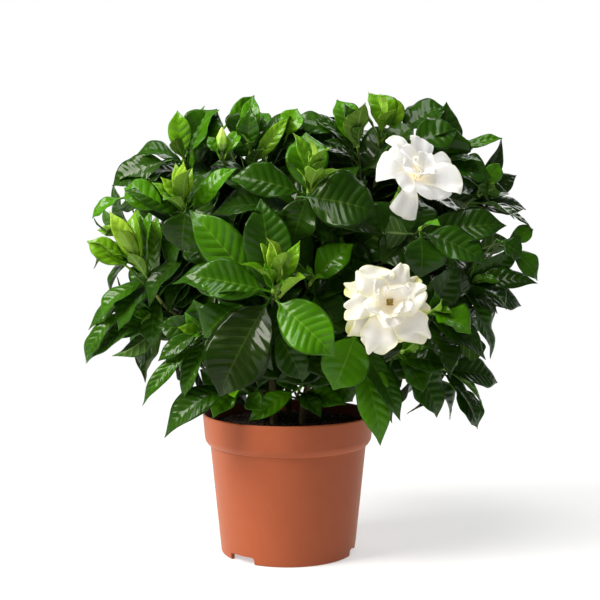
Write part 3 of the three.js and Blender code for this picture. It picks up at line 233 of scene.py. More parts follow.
FRONT_SHOOTS: tuple[FrontShoot, ...] = (
    FrontShoot("shoot_front_rosette", (273, 291), -96, (0.05, -0.8, 0.6), (
        Leaf((184, 275), 2, 23, 0.07, roll=-18, tone=0.34), Leaf((218, 398), -3, 37, tone=0.02),
        Leaf((336, 357), -12, 27, 0.12, roll=20, tone=0.46), Leaf((171, 281), -10, 25, 0.09, roll=22, tone=0.32),
        Leaf((261, 197), 10, 27, 0.08, tone=0.26), Leaf((188, 208), 8, 24, 0.08, roll=-20, tone=0.42),
    )),
    FrontShoot("young_front_rosette", (278, 288), -92, (0, -0.45, 0.9), (
        Leaf((270, 243), -6, 11, 0.04), Leaf((300, 240), 5, 9, 0.06, roll=40),
        Leaf((305, 276), -16, 11, 0.02, fold=0.8), Leaf((258, 263), -10, 8, 0.05),
    )),
    FrontShoot("shoot_front_centre", (310, 284), -70, (0.25, -0.7, 0.65), (
        Leaf((354, 243), -4, 19, tone=0.42), Leaf((338, 330), -2, 24), Leaf((284, 219), 12, 22, 0.08),
        Leaf((346, 288), -2, 20, 0.06), Leaf((303, 384), 4, 18, 0.08),
    )),
    FrontShoot("shoot_front_low_right", (358, 328), -78, (0.2, -0.7, 0.4), (
        Leaf((333, 391), -9, 28, tone=0.48), Leaf((382, 447), -1, 21, 0.08, root=12, tone=0.5),
        Leaf((402, 421), 4, 15, 0.06, root=10), Leaf((394, 424), 10, 12, 0.05, root=12), Leaf((318, 342), 6, 20),
    )),
    FrontShoot("shoot_low_right", (402, 352), -66, (0.45, -0.6, 0.35), (
        Leaf((439, 418), 2, 26), Leaf((424, 392), -8, 22, 0.08, tone=0.34), Leaf((443, 396), 10, 20),
        Leaf((378, 398), 2, 18, 0.06), Leaf((452, 366), 8, 22),
    )),
    FrontShoot("shoot_far_low_right", (442, 366), -34, (0.7, -0.4, 0.3), (
        Leaf((486, 409), -8, 14, 0.08, roll=-20, tone=0.42), Leaf((480, 429), -2, 15),
        Leaf((500, 382), 22, 19), Leaf((452, 420), 16, 18, 0.08),
    )),
    FrontShoot("shoot_right_of_bloom", (429, 312), -66, (0.6, -0.65, 0.4), (
        Leaf((472, 333), -12, 24, tone=0.5), Leaf((476, 322), 10, 20, 0.08), Leaf((488, 359), 6, 17),
        Leaf((458, 262), 6, 20), Leaf((452, 378), 0, 22, 0.09),
    )),
    FrontShoot("shoot_right", (466, 284), -26, (0.8, -0.5, 0.35), (
        Leaf((508, 309), -12, 19, 0.16), Leaf((493, 359), 2, 20, 0.08), Leaf((539, 282), 2, 14, 0.12),
        Leaf((499, 313), 8, 14), Leaf((522, 247), 6, 14), Leaf((524, 305), 30, 20),
    )),
    FrontShoot("shoot_above_front_bloom", (420, 229), -72, (0.3, -0.8, 0.45), (
        Leaf((420, 279), -7, 26, 0.12), Leaf((487, 263), -2, 22, 0.09), Leaf((384, 232), -8, 19, 0.08, roll=150),
        Leaf((456, 268), 6, 12, 0.06), Leaf((380, 262), 4, 22), Leaf((508, 224), 14, 23, 0.09),
    )),
    FrontShoot("shoot_upper_right", (478, 196), -18, (0.75, -0.35, 0.6), (
        Leaf((497, 188), -16, 12), Leaf((510, 193), -6, 13, 0.12), Leaf((516, 218), -10, 14),
        Leaf((535, 229), 4, 12), Leaf((504, 137), 10, 12), Leaf((518, 174), 12, 15),
        Leaf((528, 208), 26, 18),
    )),
    FrontShoot("shoot_top_right", (440, 158), -22, (0.4, -0.45, 0.8), (
        Leaf((456, 128), -10, 24, 0.14), Leaf((491, 201), -16, 20), Leaf((482, 160), -10, 12),
        Leaf((448, 101), 6, 21, 0.08), Leaf((476, 139), 14, 17), Leaf((418, 116), 10, 17, 0.08),
    )),
    FrontShoot("young_top", (381, 128), -24, (0.05, -0.3, 0.95), (
        Leaf((381, 93), -9, 10, 0.04), Leaf((369, 91), 2, 9, 0.06), Leaf((396, 108), -6, 10, 0.12),
        Leaf((405, 126), -9, 12), Leaf((360, 111), -3, 9),
    )),
    FrontShoot("shoot_top_middle", (358, 146), -38, (-0.1, -0.5, 0.85), (
        Leaf((345, 103), -4, 10, 0.08), Leaf((337, 98), 12, 17, 0.08, tone=0.5),
        Leaf((364, 101), -2, 17, 0.08, tone=0.6), Leaf((308, 111), 10, 12), Leaf((279, 141), 6, 20, 0.12),
        Leaf((325, 139), -8, 15), Leaf((398, 166), -2, 22),
    )),
    FrontShoot("young_upper_middle", (311, 184), -78, (0.1, -0.45, 0.88), (
        Leaf((310, 151), -8, 8, 0.04), Leaf((326, 157), -9, 9, 0.08), Leaf((341, 168), -6, 9),
        Leaf((298, 168), -4, 8, 0.08),
    )),
    FrontShoot("shoot_upper_middle", (308, 192), -70, (0, -0.75, 0.6), (
        Leaf((378, 214), -12, 30, 0.08), Leaf((228, 177), -2, 21, roll=-10),
        Leaf((306, 131), 9, 24, tone=0.44), Leaf((386, 236), 1, 21, 0.08), Leaf((322, 246), 0, 24, 0.08),
        Leaf((243, 208), 8, 20, 0.08),
    )),
    FrontShoot("shoot_top_left_middle", (250, 154), -46, (-0.05, -0.5, 0.85), (
        Leaf((253, 94), 3, 12, 0.12, tone=0.5), Leaf((250, 107), -8, 14, 0.08), Leaf((263, 114), 8, 13, 0.08),
        Leaf((289, 117), -4, 10, 0.08, roll=50, tone=0.66), Leaf((295, 109), 10, 17),
        Leaf((264, 148), -14, 12, 0.12), Leaf((212, 164), -9, 13),
    )),
    FrontShoot("young_upper_left", (184, 206), -66, (-0.1, -0.5, 0.85), (
        Leaf((183, 161), -8, 9, 0.05), Leaf((192, 167), -2, 8, 0.06), Leaf((161, 176), -7, 10, 0.08),
        Leaf((152, 181), 0, 9, 0.08), Leaf((202, 184), -9, 8, 0.08),
    )),
    FrontShoot("shoot_upper_left", (190, 216), -60, (-0.15, -0.75, 0.6), (
        Leaf((236, 167), -8, 15, tone=0.5), Leaf((124, 189), -4, 17, 0.12), Leaf((236, 248), -2, 24, 0.12),
        Leaf((164, 262), 2, 22, 0.08), Leaf((206, 268), 6, 22, 0.08),
    )),
    FrontShoot("shoot_top_left", (184, 160), -32, (-0.35, -0.5, 0.8), (
        Leaf((177, 110), -4, 14, 0.06, roll=30, tone=0.62), Leaf((218, 108), 2, 23, tone=0.42),
        Leaf((153, 167), -10, 9), Leaf((130, 158), 2, 17, 0.24), Leaf((110, 184), -2, 22, 0.14),
        Leaf((203, 104), 16, 14, tone=0.5), Leaf((214, 196), 0, 20),
    )),
    FrontShoot("young_left", (142, 268), -52, (-0.4, -0.35, 0.85), (
        Leaf((87, 240), 0, 15, 0.06, roll=20, tone=0.64), Leaf((115, 222), 2, 11, 0.06, tone=0.58),
        Leaf((152, 204), 4, 9, 0.05, tone=0.5), Leaf((128, 252), -12, 9, 0.05, tone=0.56),
    )),
    FrontShoot("shoot_left", (149, 276), -42, (-0.55, -0.65, 0.5), (
        Leaf((136, 207), 2, 18, 0.08, tone=0.56), Leaf((98, 319), -2, 14, 0.14), Leaf((117, 330), -8, 21),
        Leaf((156, 213), 8, 16, 0.06, tone=0.6), Leaf((86, 329), 10, 16), Leaf((152, 348), -2, 22),
    )),
    FrontShoot("shoot_far_left", (128, 236), 2, (-0.9, -0.3, 0.35), (
        Leaf((92, 218), -8, 9, 0.12), Leaf((102, 208), 4, 14), Leaf((92, 268), 0, 16),
        Leaf((112, 180), 12, 16), Leaf((108, 298), 12, 18),
    )),
    FrontShoot("shoot_low_left", (158, 316), -34, (-0.75, -0.5, 0.15), (
        Leaf((83, 363), 6, 14, 0.14, root=9), Leaf((104, 336), 14, 18), Leaf((112, 358), -12, 13, roll=160),
        Leaf((138, 370), 16, 20),
    )),
    FrontShoot("shoot_low_left_fingers", (204, 330), -62, (-0.5, -0.75, 0.1), (
        Leaf((157, 361), -2, 11, 0.08), Leaf((166, 364), 5, 11, 0.08), Leaf((140, 406), 6, 10),
        Leaf((181, 401), 0, 13, 0.08), Leaf((193, 300), -2, 20), Leaf((154, 326), 2, 15),
    )),
    FrontShoot("shoot_rim_left", (240, 386), -44, (-0.4, -0.75, 0.35), (
        Leaf((162, 438), -22, 18, 0.22, tone=0.26), Leaf((212, 418), -12, 16, 0.16, tone=0.5),
        Leaf((234, 397), -22, 10, tone=0.6), Leaf((262, 410), -8, 13, 0.12),
    )),
    FrontShoot("shoot_rim_middle", (300, 388), -34, (0.1, -0.8, 0.45), (
        Leaf((247, 422), -16, 13, 0.16, tone=0.5), Leaf((275, 382), -14, 9, 0.16), Leaf((321, 417), -18, 12, 0.12),
        Leaf((346, 404), -12, 14, tone=0.42),
    )),
)

SIDE_LEAVES: tuple[SideLeaf, ...] = (
    SideLeaf("young_top", (396, 136), (447, 106), -18, 4, 23, 0.24),
    SideLeaf("young_top", (393, 134), (371, 92), -26, 2, 19, 0.62, 0.08),
    SideLeaf("young_top", (397, 136), (386, 97), -20, 4, 17, 0.7),
    SideLeaf("shoot_top_right", (406, 147), (458, 131), -34, 2, 24, 0.26),
    SideLeaf("young_top", (384, 152), (414, 126), -42, 0, 18, 0.2, 0.08),
    SideLeaf("shoot_upper_left", (187, 203), (182, 252), -72, 0, 24, 0.14, 0.08),
    SideLeaf("shoot_front_rosette", (275, 292), (288, 350), -84, 0, 24, 0.08),
    SideLeaf("shoot_upper_middle", (310, 190), (292, 244), -74, 0, 22, 0.14),
    SideLeaf("shoot_upper_right", (488, 204), (450, 176), -14, 0, 27, 0.2),
    SideLeaf("shoot_front_rosette", (240, 302), (203, 338), -80, -2, 24, 0.3),
    SideLeaf("shoot_front_rosette", (272, 326), (304, 381), -86, 0, 19, 0.2),
    SideLeaf("shoot_top_middle", (344, 137), (289, 121), -34, 6, 15, 0.3),
    SideLeaf("shoot_top_left_middle", (264, 152), (316, 126), -34, 2, 24, 0.2),
    SideLeaf("shoot_top_left_middle", (285, 142), (297, 108), -40, 0, 16, 0.58, 0.06),
    SideLeaf("shoot_top_right", (454, 150), (503, 137), -16, 0, 8, 0.42, 0.04),
    SideLeaf("shoot_top_right", (438, 168), (493, 177), -26, 2, 20, 0.28),
    SideLeaf("shoot_upper_right", (480, 190), (500, 163), -20, 2, 12, 0.5, 0.08),
    SideLeaf("shoot_right", (500, 246), (539, 281), -14, 2, 15, 0.36, 0.14),
    SideLeaf("shoot_right", (496, 240), (522, 257), -24, 0, 18, 0.24),
    SideLeaf("shoot_right", (502, 242), (534, 229), -16, 4, 11, 0.4),
    SideLeaf("shoot_far_low_right", (450, 384), (479, 428), -30, 2, 18, 0.28),
    SideLeaf("shoot_upper_left", (170, 214), (123, 187), -64, 6, 18, 0.46, 0.16),
    SideLeaf("shoot_top_left", (174, 160), (111, 185), -40, 6, 20, 0.2, 0.1, -10),
    SideLeaf("shoot_upper_middle", (297, 197), (378, 213), -86, -2, 34, 0.14),
    SideLeaf("young_left", (131, 270), (87, 240), -54, 2, 15, 0.64, 0.06),
    SideLeaf("shoot_far_left", (127, 197), (91, 218), -12, 0, 10, 0.5, 0.14),
    SideLeaf("shoot_low_left", (124, 306), (84, 362), -36, 2, 12, 0.34),
    SideLeaf("shoot_rim_middle", (330, 374), (353, 402), -34, -2, 16, 0.22),
    SideLeaf("shoot_top_left", (186, 158), (217, 108), -30, 4, 25, 0.34, 0.06, 24),
    SideLeaf("shoot_top_left_middle", (222, 130), (255, 95), -38, 4, 10, 0.46, 0.06, 30),
    SideLeaf("shoot_top_left_middle", (240, 150), (246, 106), -40, 4, 20, 0.16, 0.06),
    SideLeaf("shoot_top_left_middle", (221, 160), (208, 136), -56, 2, 7, 0.4, 0.08),
    SideLeaf("shoot_top_left_middle", (224, 160), (240, 130), -54, 6, 9, 0.56, 0.08),
    SideLeaf("shoot_top_left_middle", (252, 163), (239, 139), -40, 0, 16, 0.22, 0.08),
)

BLOOMS: tuple[BloomRow, ...] = (
    BloomRow("bloom_front", (389, 303), -98, (0.1, -0.97, 0.22), 1.0, 0.9, 1.0, (
        Petal((344, 329), 2, 15, 0.14, 0), Petal((348, 280), 4, 15, 0.12, 0), Petal((401, 343), 3, 18, 0.1, 0),
        Petal((427, 317), 2, 16, 0.1, 0), Petal((417, 276), 2, 13, 0.1, 0), Petal((364, 266), -3, 20, 0.12, 1),
        Petal((346, 300), -4, 18, 0.12, 1), Petal((374, 354), -2, 20, 0.16, 1), Petal((425, 343), -2, 19, 0.14, 1),
        Petal((427, 298), -4, 17, 0.1, 1), Petal((398, 263), -3, 16, 0.1, 1), Petal((374, 287), -16, 15, 0.16, 2),
        Petal((372, 314), -16, 15, 0.16, 2), Petal((394, 325), -15, 15, 0.16, 2), Petal((409, 309), -15, 14, 0.16, 2),
        Petal((400, 285), -15, 15, 0.16, 2), Petal((380, 297), -17, 8, 0.22, 3), Petal((386, 314), -17, 8, 0.22, 3),
        Petal((400, 304), -17, 8, 0.22, 3), Petal((392, 291), -17, 8, 0.22, 3),
    )),
    BloomRow("bloom_top", (417, 176), -64, (0.5, -0.62, 0.6), -0.8, 0.12, 0.0, (
        Petal((377, 164), 2, 28, 0.14, 0), Petal((393, 134), 8, 15, 0.1, 0), Petal((402, 217), -6, 19, 0.06, 0),
        Petal((463, 180), 2, 28, 0.12, 0), Petal((452, 160), 14, 16, 0.1, 0), Petal((421, 137), 10, 18, 0.1, 1),
        Petal((436, 199), -12, 30, 0.14, 1), Petal((402, 188), -14, 17, 0.16, 1), Petal((389, 150), -4, 17, 0.14, 1),
        Petal((402, 148), -8, 12, 0.16, 2), Petal((436, 167), -6, 17, 0.2, 2), Petal((425, 152), -3, 14, 0.18, 2),
        Petal((404, 166), -14, 12, 0.18, 2), Petal((414, 160), -12, 8, 0.22, 3), Petal((424, 172), -12, 9, 0.22, 3),
    )),
)


# Numbers and vectors


def vector(x: float, y: float, z: float) -> Point:
    """A point or direction."""
    return np.array([x, y, z], float)


def unit(direction: Point) -> Point:
    """The direction with length one."""
    return direction / np.linalg.norm(direction)


def outward(azimuth: float, elevation: float = 0.0) -> Point:
    """The direction with an azimuth from the front and an elevation, in degrees."""
    a, e = math.radians(azimuth), math.radians(elevation)
    return vector(math.sin(a) * math.cos(e), -math.cos(a) * math.cos(e), math.sin(e))


def turn_about(direction: Point, axis: Point, degrees: float) -> Point:
    """Turns a direction about a unit axis."""
    cosine, sine = math.cos(math.radians(degrees)), math.sin(math.radians(degrees))
    return direction * cosine + np.cross(axis, direction) * sine + axis * (axis @ direction) * (1 - cosine)


def square_to(facing: Point) -> Point:
    """A level direction square to the given one."""
    return unit(np.cross(facing, vector(1, 0, 0) if abs(facing[2]) > 0.9 else UP))


def leaning(axis: Point, aside: Point, degrees: float) -> Point:
    """The axis leaned towards a direction square to it."""
    return axis * math.cos(math.radians(degrees)) + aside * math.sin(math.radians(degrees))


def egg_share(point: Point) -> float:
    """How far out a point is in the bush's egg shape, 1 on its surface."""
    return float(np.linalg.norm((point - BUSH_CENTRE) / BUSH_RADII))


def mix(start: float, end: float, share: float) -> float:
    """The value a share of the way from start to end."""
    return start + (end - start) * share


def smooth_step(low: float, high: float, value: Array | float) -> Array | float:
    """Rises smoothly from 0 at low to 1 at high."""
    share = np.clip((value - low) / (high - low), 0.0, 1.0)
    return share * share * (3 - 2 * share)


def from_picture(spot: Spot, depth: float) -> Point:
    """The point that is seen at a spot of the picture plane.

    Args:
        spot: The spot, in pixels.
        depth: The point's Y, in mm.

    Returns:
        The point, in mm.
    """
    across = (spot[0] - PICTURE_CENTRE_PIXELS) / EYE_FOCAL_PIXELS
    up = (PICTURE_CENTRE_PIXELS - spot[1]) / EYE_FOCAL_PIXELS
    ray = EYE_FORWARD + EYE_UPWARD * up + EYE_RIGHT * across
    return EYE + ray * ((depth - EYE[1]) / ray[1])


def to_picture(point: Point) -> Spot:
    """Where a point is seen on the picture plane."""
    ray = (point - EYE) * EYE_FOCAL_PIXELS / (EYE_FORWARD @ (point - EYE))
    return PICTURE_CENTRE_PIXELS + ray @ EYE_RIGHT, PICTURE_CENTRE_PIXELS - ray @ EYE_UPWARD


def seeded_random(seed: int) -> Callable[[], float]:
    """The stream of random shares that the CAD part draws from as well.

    Args:
        seed: The stream's seed.

    Returns:
        A function that gives the next share, from 0 up to 1.
    """
    state = seed & 0xFFFFFFFF

    def draw() -> float:
        """The stream's next share."""
        nonlocal state
        state = (state + 0x6D2B79F5) & 0xFFFFFFFF
        mixed = ((state ^ (state >> 15)) * (1 | state)) & 0xFFFFFFFF
        mixed ^= (mixed + (((mixed ^ (mixed >> 7)) * (61 | mixed)) & 0xFFFFFFFF)) & 0xFFFFFFFF
        return ((mixed ^ (mixed >> 14)) & 0xFFFFFFFF) / 4294967296

    return draw


# Materials


def linear(code: str) -> tuple[float, float, float, float]:
    """An sRGB hex colour as linear red, green, blue and alpha."""
    shares = [int(code[k : k + 2], 16) / 255 for k in (0, 2, 4)]
    return (*(s / 12.92 if s <= 0.04045 else ((s + 0.055) / 1.055) ** 2.4 for s in shares), 1.0)


def add_node(tree: bpy.types.NodeTree, kind: str, inputs: dict | None = None, **settings) -> bpy.types.Node:
    """Adds a node, sets its properties, and sets or links its inputs.

    Args:
        tree: The node tree.
        kind: The node's type name.
        inputs: Values or output sockets, by input name or number.
        settings: Properties of the node.

    Returns:
        The new node.
    """
    node = tree.nodes.new(kind)
    for key, value in settings.items():
        setattr(node, key, value)
    for key, value in (inputs or {}).items():
        if isinstance(value, Socket):
            tree.links.new(value, node.inputs[key])
        else:
            node.inputs[key].default_value = value
    return node


class Maths:
    """Arithmetic on sockets, for both shader and geometry trees."""

    def __init__(self, tree: bpy.types.NodeTree) -> None:
        """Works in the given tree."""
        self.tree = tree

    def run(self, operation: str, first: Value, second: Value = 0.0, clamp: bool = False) -> Socket:
        """One operation on one or two values."""
        inputs = {0: first, 1: second}
        return add_node(self.tree, "ShaderNodeMath", inputs, operation=operation, use_clamp=clamp).outputs[0]

    def times(self, first: Value, second: Value, clamp: bool = False) -> Socket:
        """The product."""
        return self.run("MULTIPLY", first, second, clamp)

    def rest(self, first: Value) -> Socket:
        """What the value leaves of one, never less than nothing."""
        return self.run("SUBTRACT", 1.0, first, True)

    def power(self, first: Value, second: float, clamp: bool = False) -> Socket:
        """The value to a power."""
        return self.run("POWER", first, second, clamp)

    def scaled(self, first: Value, factor: float, plus: float = 0.0) -> Socket:
        """The value times a factor, plus a constant."""
        return self.run("ADD", self.times(first, factor), plus)


class Shader:
    """A material under construction, with short words for the nodes it is made of."""

    def __init__(self, name: str) -> None:
        """Begins an empty material.

        Args:
            name: Its name.
        """
        self.material = bpy.data.materials.new(name)
        self.material.use_nodes = True
        self.tree = self.material.node_tree
        self.tree.nodes.clear()
        self.maths = Maths(self.tree)
        self.place = add_node(self.tree, "ShaderNodeTexCoord").outputs["Object"]

    def attribute(self, name: str) -> Socket:
        """A number stored at the piece's points."""
        return add_node(self.tree, "ShaderNodeAttribute", attribute_name=name).outputs["Fac"]

    def noise(self, size_mm: float, detail: float = 3.0, rough: float = 0.5, stretch: tuple = (1, 1, 1)) -> Socket:
        """Noise whose blotches have a real size.

        Args:
            size_mm: The size of a blotch.
            detail: Octaves.
            rough: How strong the finer octaves are.
            stretch: Factors on the object's axes.

        Returns:
            The noise as a share.
        """
        mapped = add_node(self.tree, "ShaderNodeMapping", {"Vector": self.place, "Scale": stretch}).outputs[0]
        inputs = {"Vector": mapped, "Scale": 1 / (size_mm * MM), "Detail": detail, "Roughness": rough}
        return add_node(self.tree, "ShaderNodeTexNoise", inputs).outputs["Fac"]

    def cells(self, size_mm: float) -> Socket:
        """Distance within cells of a real size."""
        inputs = {"Vector": self.place, "Scale": 1 / (size_mm * MM)}
        return add_node(self.tree, "ShaderNodeTexVoronoi", inputs).outputs["Distance"]

    def uneven(self, name: str, spread: float, *blotches: float) -> Socket:
        """A stored share with noise added to it."""
        added = self.maths.scaled(self.noise(*blotches), spread, -spread / 2)
        return self.maths.run("ADD", self.attribute(name), added, clamp=True)

    def ramp(self, share: Socket, stops: Stops) -> Socket:
        """A colour that follows a share.

        Args:
            share: The share's socket.
            stops: Positions and sRGB hex colours.

        Returns:
            The colour's socket.
        """
        node = add_node(self.tree, "ShaderNodeValToRGB", {"Fac": share})
        elements = node.color_ramp.elements
        while len(elements) < len(stops):
            elements.new(0.5)
        for element, (position, code) in zip(elements, stops):
            element.position = position
            element.color = linear(code)
        return node.outputs["Color"]

    def blend(self, share: Value, first: Value, second: Value) -> Socket:
        """Two colours mixed by a share."""
        return add_node(self.tree, "ShaderNodeMix", {0: share, 6: first, 7: second}, data_type="RGBA").outputs[2]

    def bump(self, height: Socket, depth_mm: float, strength: float = 1.0, under: Value | None = None) -> Socket:
        """A bumped normal.

        Args:
            height: Height as a share.
            depth_mm: Depth of the full share.
            strength: Strength of the bump.
            under: The normal of a coarser bump.

        Returns:
            The normal's socket.
        """
        inputs = {"Height": height, "Distance": depth_mm * MM, "Strength": strength}
        if under is not None:
            inputs["Normal"] = under
        return add_node(self.tree, "ShaderNodeBump", inputs).outputs["Normal"]

    def finish(self, inputs: dict) -> Material:
        """Closes the material with its surface.

        Args:
            inputs: Inputs of the surface shader.

        Returns:
            The material.
        """
        surface = add_node(self.tree, "ShaderNodeBsdfPrincipled", inputs)
        add_node(self.tree, "ShaderNodeOutputMaterial", {"Surface": surface.outputs[0]})
        return self.material


def plain(
    name: str, blotches: tuple, stops: Stops, roughness: float, grain: Callable, depth: tuple
) -> Material:
    """A material that needs no more than blotches and a grain.

    Args:
        name: The real material.
        blotches: Size, octaves and roughness of the noise its colour follows.
        stops: Places on that noise and sRGB hex colours.
        roughness: Its roughness.
        grain: Gives the height of its grain from the shader.
        depth: Depth and strength of the grain.

    Returns:
        The material.
    """
    shader = Shader(name)
    colour = shader.ramp(shader.noise(*blotches), stops)
    normal = shader.bump(grain(shader), *depth)
    return shader.finish({"Base Color": colour, "Roughness": roughness, "Normal": normal})


def vein_lines(shader: Shader, sharpness: float) -> Socket:
    """A share that is highest along the side veins."""
    crest = shader.maths.run("COSINE", shader.maths.times(shader.attribute("veins"), math.tau))
    return shader.maths.power(shader.maths.run("MAXIMUM", crest, 0.0), sharpness)


def leaf_upper_side() -> Material:
    """Waxy upper side of a gardenia leaf.

    Returns:
        The material.
    """
    # The cuticle is glassy, so the quilted surface breaks the light into stripes beside the veins
    shader = Shader("gardenia_leaf_cuticle")
    maths = shader.maths
    tone = shader.attribute("tone")
    across = maths.run("ABSOLUTE", shader.attribute("across"))
    stops = [(0.0, "0F1E02"), (0.3, "1F4203"), (0.55, "407604"), (0.78, "6F961A"), (1.0, "9AB63A")]
    base = shader.ramp(shader.uneven("tone", 0.16, 14, 4, 0.55), stops)
    fade = maths.rest(across)
    side_veins = maths.times(maths.times(vein_lines(shader, 14.0), fade), 0.05)
    midrib = maths.rest(maths.times(across, 20.0))
    marks = maths.run("MAXIMUM", side_veins, maths.times(midrib, maths.scaled(tone, 0.5, 0.08)))
    pale = shader.blend(0.5, base, linear("9CBE4E"))
    colour = shader.blend(marks, base, pale)
    wave = maths.run("SINE", maths.times(shader.attribute("veins"), math.pi))
    crease = maths.power(maths.run("ABSOLUTE", wave), 0.6)
    quilt = maths.times(crease, maths.times(fade, 2.0, clamp=True))
    normal = shader.bump(quilt, 0.5, 0.6)
    normal = shader.bump(shader.cells(2.6), 0.16, 0.4, normal)
    normal = shader.bump(shader.noise(0.9, 2, 0.6), 0.05, 0.4, normal)
    rough = maths.scaled(shader.noise(6, 3), 0.14, 0.3)
    return shader.finish({
        "Base Color": colour, "Roughness": rough, "Normal": normal, "IOR": 1.45, "Specular IOR Level": 0.1,
        "Specular Tint": linear("D6F0A0"), "Coat Weight": 0.44, "Coat Roughness": 0.12, "Coat IOR": 1.34
    })


def leaf_underside() -> Material:
    """Matt underside of a gardenia leaf.

    Returns:
        The material.
    """
    # Without the wax the underside looks paler and greyer, and its ribs stand out
    shader = Shader("gardenia_leaf_underside")
    maths = shader.maths
    tone = shader.uneven("tone", 0.2, 9)
    across = maths.run("ABSOLUTE", shader.attribute("across"))
    base = shader.ramp(tone, [(0.0, "2A4412"), (0.45, "42691A"), (0.8, "7DA62A"), (1.0, "A6C444")])
    midrib = maths.rest(maths.times(across, 9.0))
    marks = maths.run("MAXIMUM", maths.times(vein_lines(shader, 8.0), 0.35), midrib)
    colour = shader.blend(marks, base, shader.blend(0.6, base, linear("A9C472")))
    normal = shader.bump(shader.cells(1.4), 0.15, 0.5)
    return shader.finish({"Base Color": colour, "Roughness": 0.55, "Normal": normal, "Specular IOR Level": 0.3})


def green_bark() -> Material:
    """Young green bark of twigs, petioles and flower stalks.

    Returns:
        The material.
    """
    # Smooth and half waxy, with lengthwise streaks and small pale pores
    shader = Shader("gardenia_green_bark")
    stops = [(0.0, "38430F"), (0.4, "466318"), (0.8, "759A32"), (1.0, "96BC4C")]
    base = shader.ramp(shader.uneven("tone", 0.3, 5, 4), stops)
    normal = shader.bump(shader.noise(1.6, 3, 0.6), 0.15, 0.6)
    return shader.finish({"Base Color": base, "Roughness": 0.48, "Normal": normal})


def woody_bark() -> Material:
    """Bark of the older stems.

    Returns:
        The material.
    """
    # Fissured and dull, grey-brown low down and olive higher up
    shader = Shader("gardenia_bark")
    stops = [(0.0, "55472F"), (0.25, "6E6738"), (0.5, "77803A"), (1.0, "6F8A34")]
    base = shader.ramp(shader.uneven("tone", 0.36, 6, 4), stops)
    streaks = shader.noise(1.4, 4, 0.65, (1, 1, 0.25))
    colour = shader.blend(shader.maths.scaled(streaks, 0.7, -0.1), base, linear("3E3423"))
    normal = shader.bump(streaks, 0.5, 0.8)
    return shader.finish({"Base Color": colour, "Roughness": 0.8, "Normal": normal})


def petal_flesh() -> Material:
    """Thick, velvety flesh of a gardenia petal.

    Returns:
        The material.
    """
    # Light sinks in and comes out warm, so folds stay soft, never chalky, and on top of that the petals glow with
    # painted light that lifts their shade
    shader = Shader("gardenia_petal")
    maths = shader.maths
    aging = shader.attribute("tone")
    along = shader.attribute("veins")
    across = maths.run("ABSOLUTE", shader.attribute("across"))
    # The throat is painted a paler cream: partly the petals' own colour at their base, partly painted light for the
    # light bounced among the petals
    throat = maths.rest(maths.times(along, 1.9))
    body = shader.blend(maths.times(aging, 0.8), linear("BFBFBE"), linear("D6D1C1"))
    white = shader.blend(throat, body, linear("ECE2C6"))
    edge = maths.power(maths.run("MAXIMUM", across, along), 9.0)
    stain = maths.times(maths.times(edge, aging), shader.noise(9, 2), clamp=True)
    colour = shader.blend(maths.times(stain, 2.6, clamp=True), white, linear("C6C67C"))
    freckles = maths.scaled(shader.noise(5, 4, 0.6), 0.1, -0.01)
    colour = shader.blend(maths.times(freckles, aging), colour, linear("D9C892"))
    inputs = {"X": maths.times(across, 9.0), "Y": maths.times(along, 1.6)}
    inputs = {"Vector": add_node(shader.tree, "ShaderNodeCombineXYZ", inputs).outputs[0], "Scale": 2.0, "Detail": 3.0}
    ribs = add_node(shader.tree, "ShaderNodeTexNoise", inputs).outputs["Fac"]
    normal = shader.bump(ribs, 0.35, 0.45)
    normal = shader.bump(shader.noise(0.8, 2), 0.05, 0.4, normal)
    # The emission is painted light: the petals glow in their own colour, most on the young white bloom and the inner
    # rings, to lift their shade
    return shader.finish({
        "Base Color": colour, "Roughness": 0.55, "Normal": normal, "Specular IOR Level": 0.2,
        "Subsurface Weight": 0.4, "Subsurface Radius": (1.0, 0.85, 0.6), "Subsurface Scale": 2.0 * MM,
        "Emission Color": colour, "Emission Strength": maths.scaled(aging, -0.36, 0.46)
    })


def bud_skin() -> Material:
    """Furled petals of the closed bud.

    Returns:
        The material.
    """
    # Pale, half see-through green that whitens towards the furled tip
    shader = Shader("gardenia_bud")
    stops = [(0.0, "5C8A20"), (0.45, "86AE34"), (0.85, "A9C552"), (1.0, "C6D67E")]
    base = shader.ramp(shader.uneven("veins", 0.3, 4), stops)
    return shader.finish({
        "Base Color": base, "Roughness": 0.4, "Normal": shader.bump(shader.noise(1.0), 0.1, 0.5),
        "Subsurface Weight": 0.15, "Subsurface Radius": (0.7, 1.0, 0.3), "Subsurface Scale": 1.5 * MM
    })


def terracotta_plastic() -> Material:
    """Injection moulded polypropylene in terracotta colour.

    Returns:
        The material.
    """
    # Fine eroded mould texture: a broad soft sheen, faint flow streaks and a little dust
    shader = Shader("terracotta_polypropylene")
    maths = shader.maths
    streaks = shader.noise(26, 3, 0.5, (1, 1, 0.12))
    dust = shader.noise(11, 5, 0.62)
    colour = shader.blend(maths.scaled(streaks, 0.35, -0.05), linear("9E4D2B"), linear("934424"))
    colour = shader.blend(maths.scaled(dust, 0.22, -0.06), colour, linear("B97350"))
    specks = maths.power(shader.noise(1.1, 2, 0.6), 7.0, clamp=True)
    colour = shader.blend(maths.times(specks, 0.7, clamp=True), colour, linear("8C4428"))
    grain = shader.noise(0.45, 3, 0.7)
    normal = shader.bump(shader.noise(34, 2, 0.5, (1, 1, 0.3)), 0.25, 0.5)
    normal = shader.bump(grain, 0.05, 0.55, normal)
    return shader.finish({
        "Base Color": colour, "Roughness": maths.scaled(dust, 0.14, 0.42), "Normal": normal,
        "Specular IOR Level": 0.2, "Sheen Weight": 0.3, "Sheen Roughness": 0.45, "Sheen Tint": linear("FFC9A6")
    })


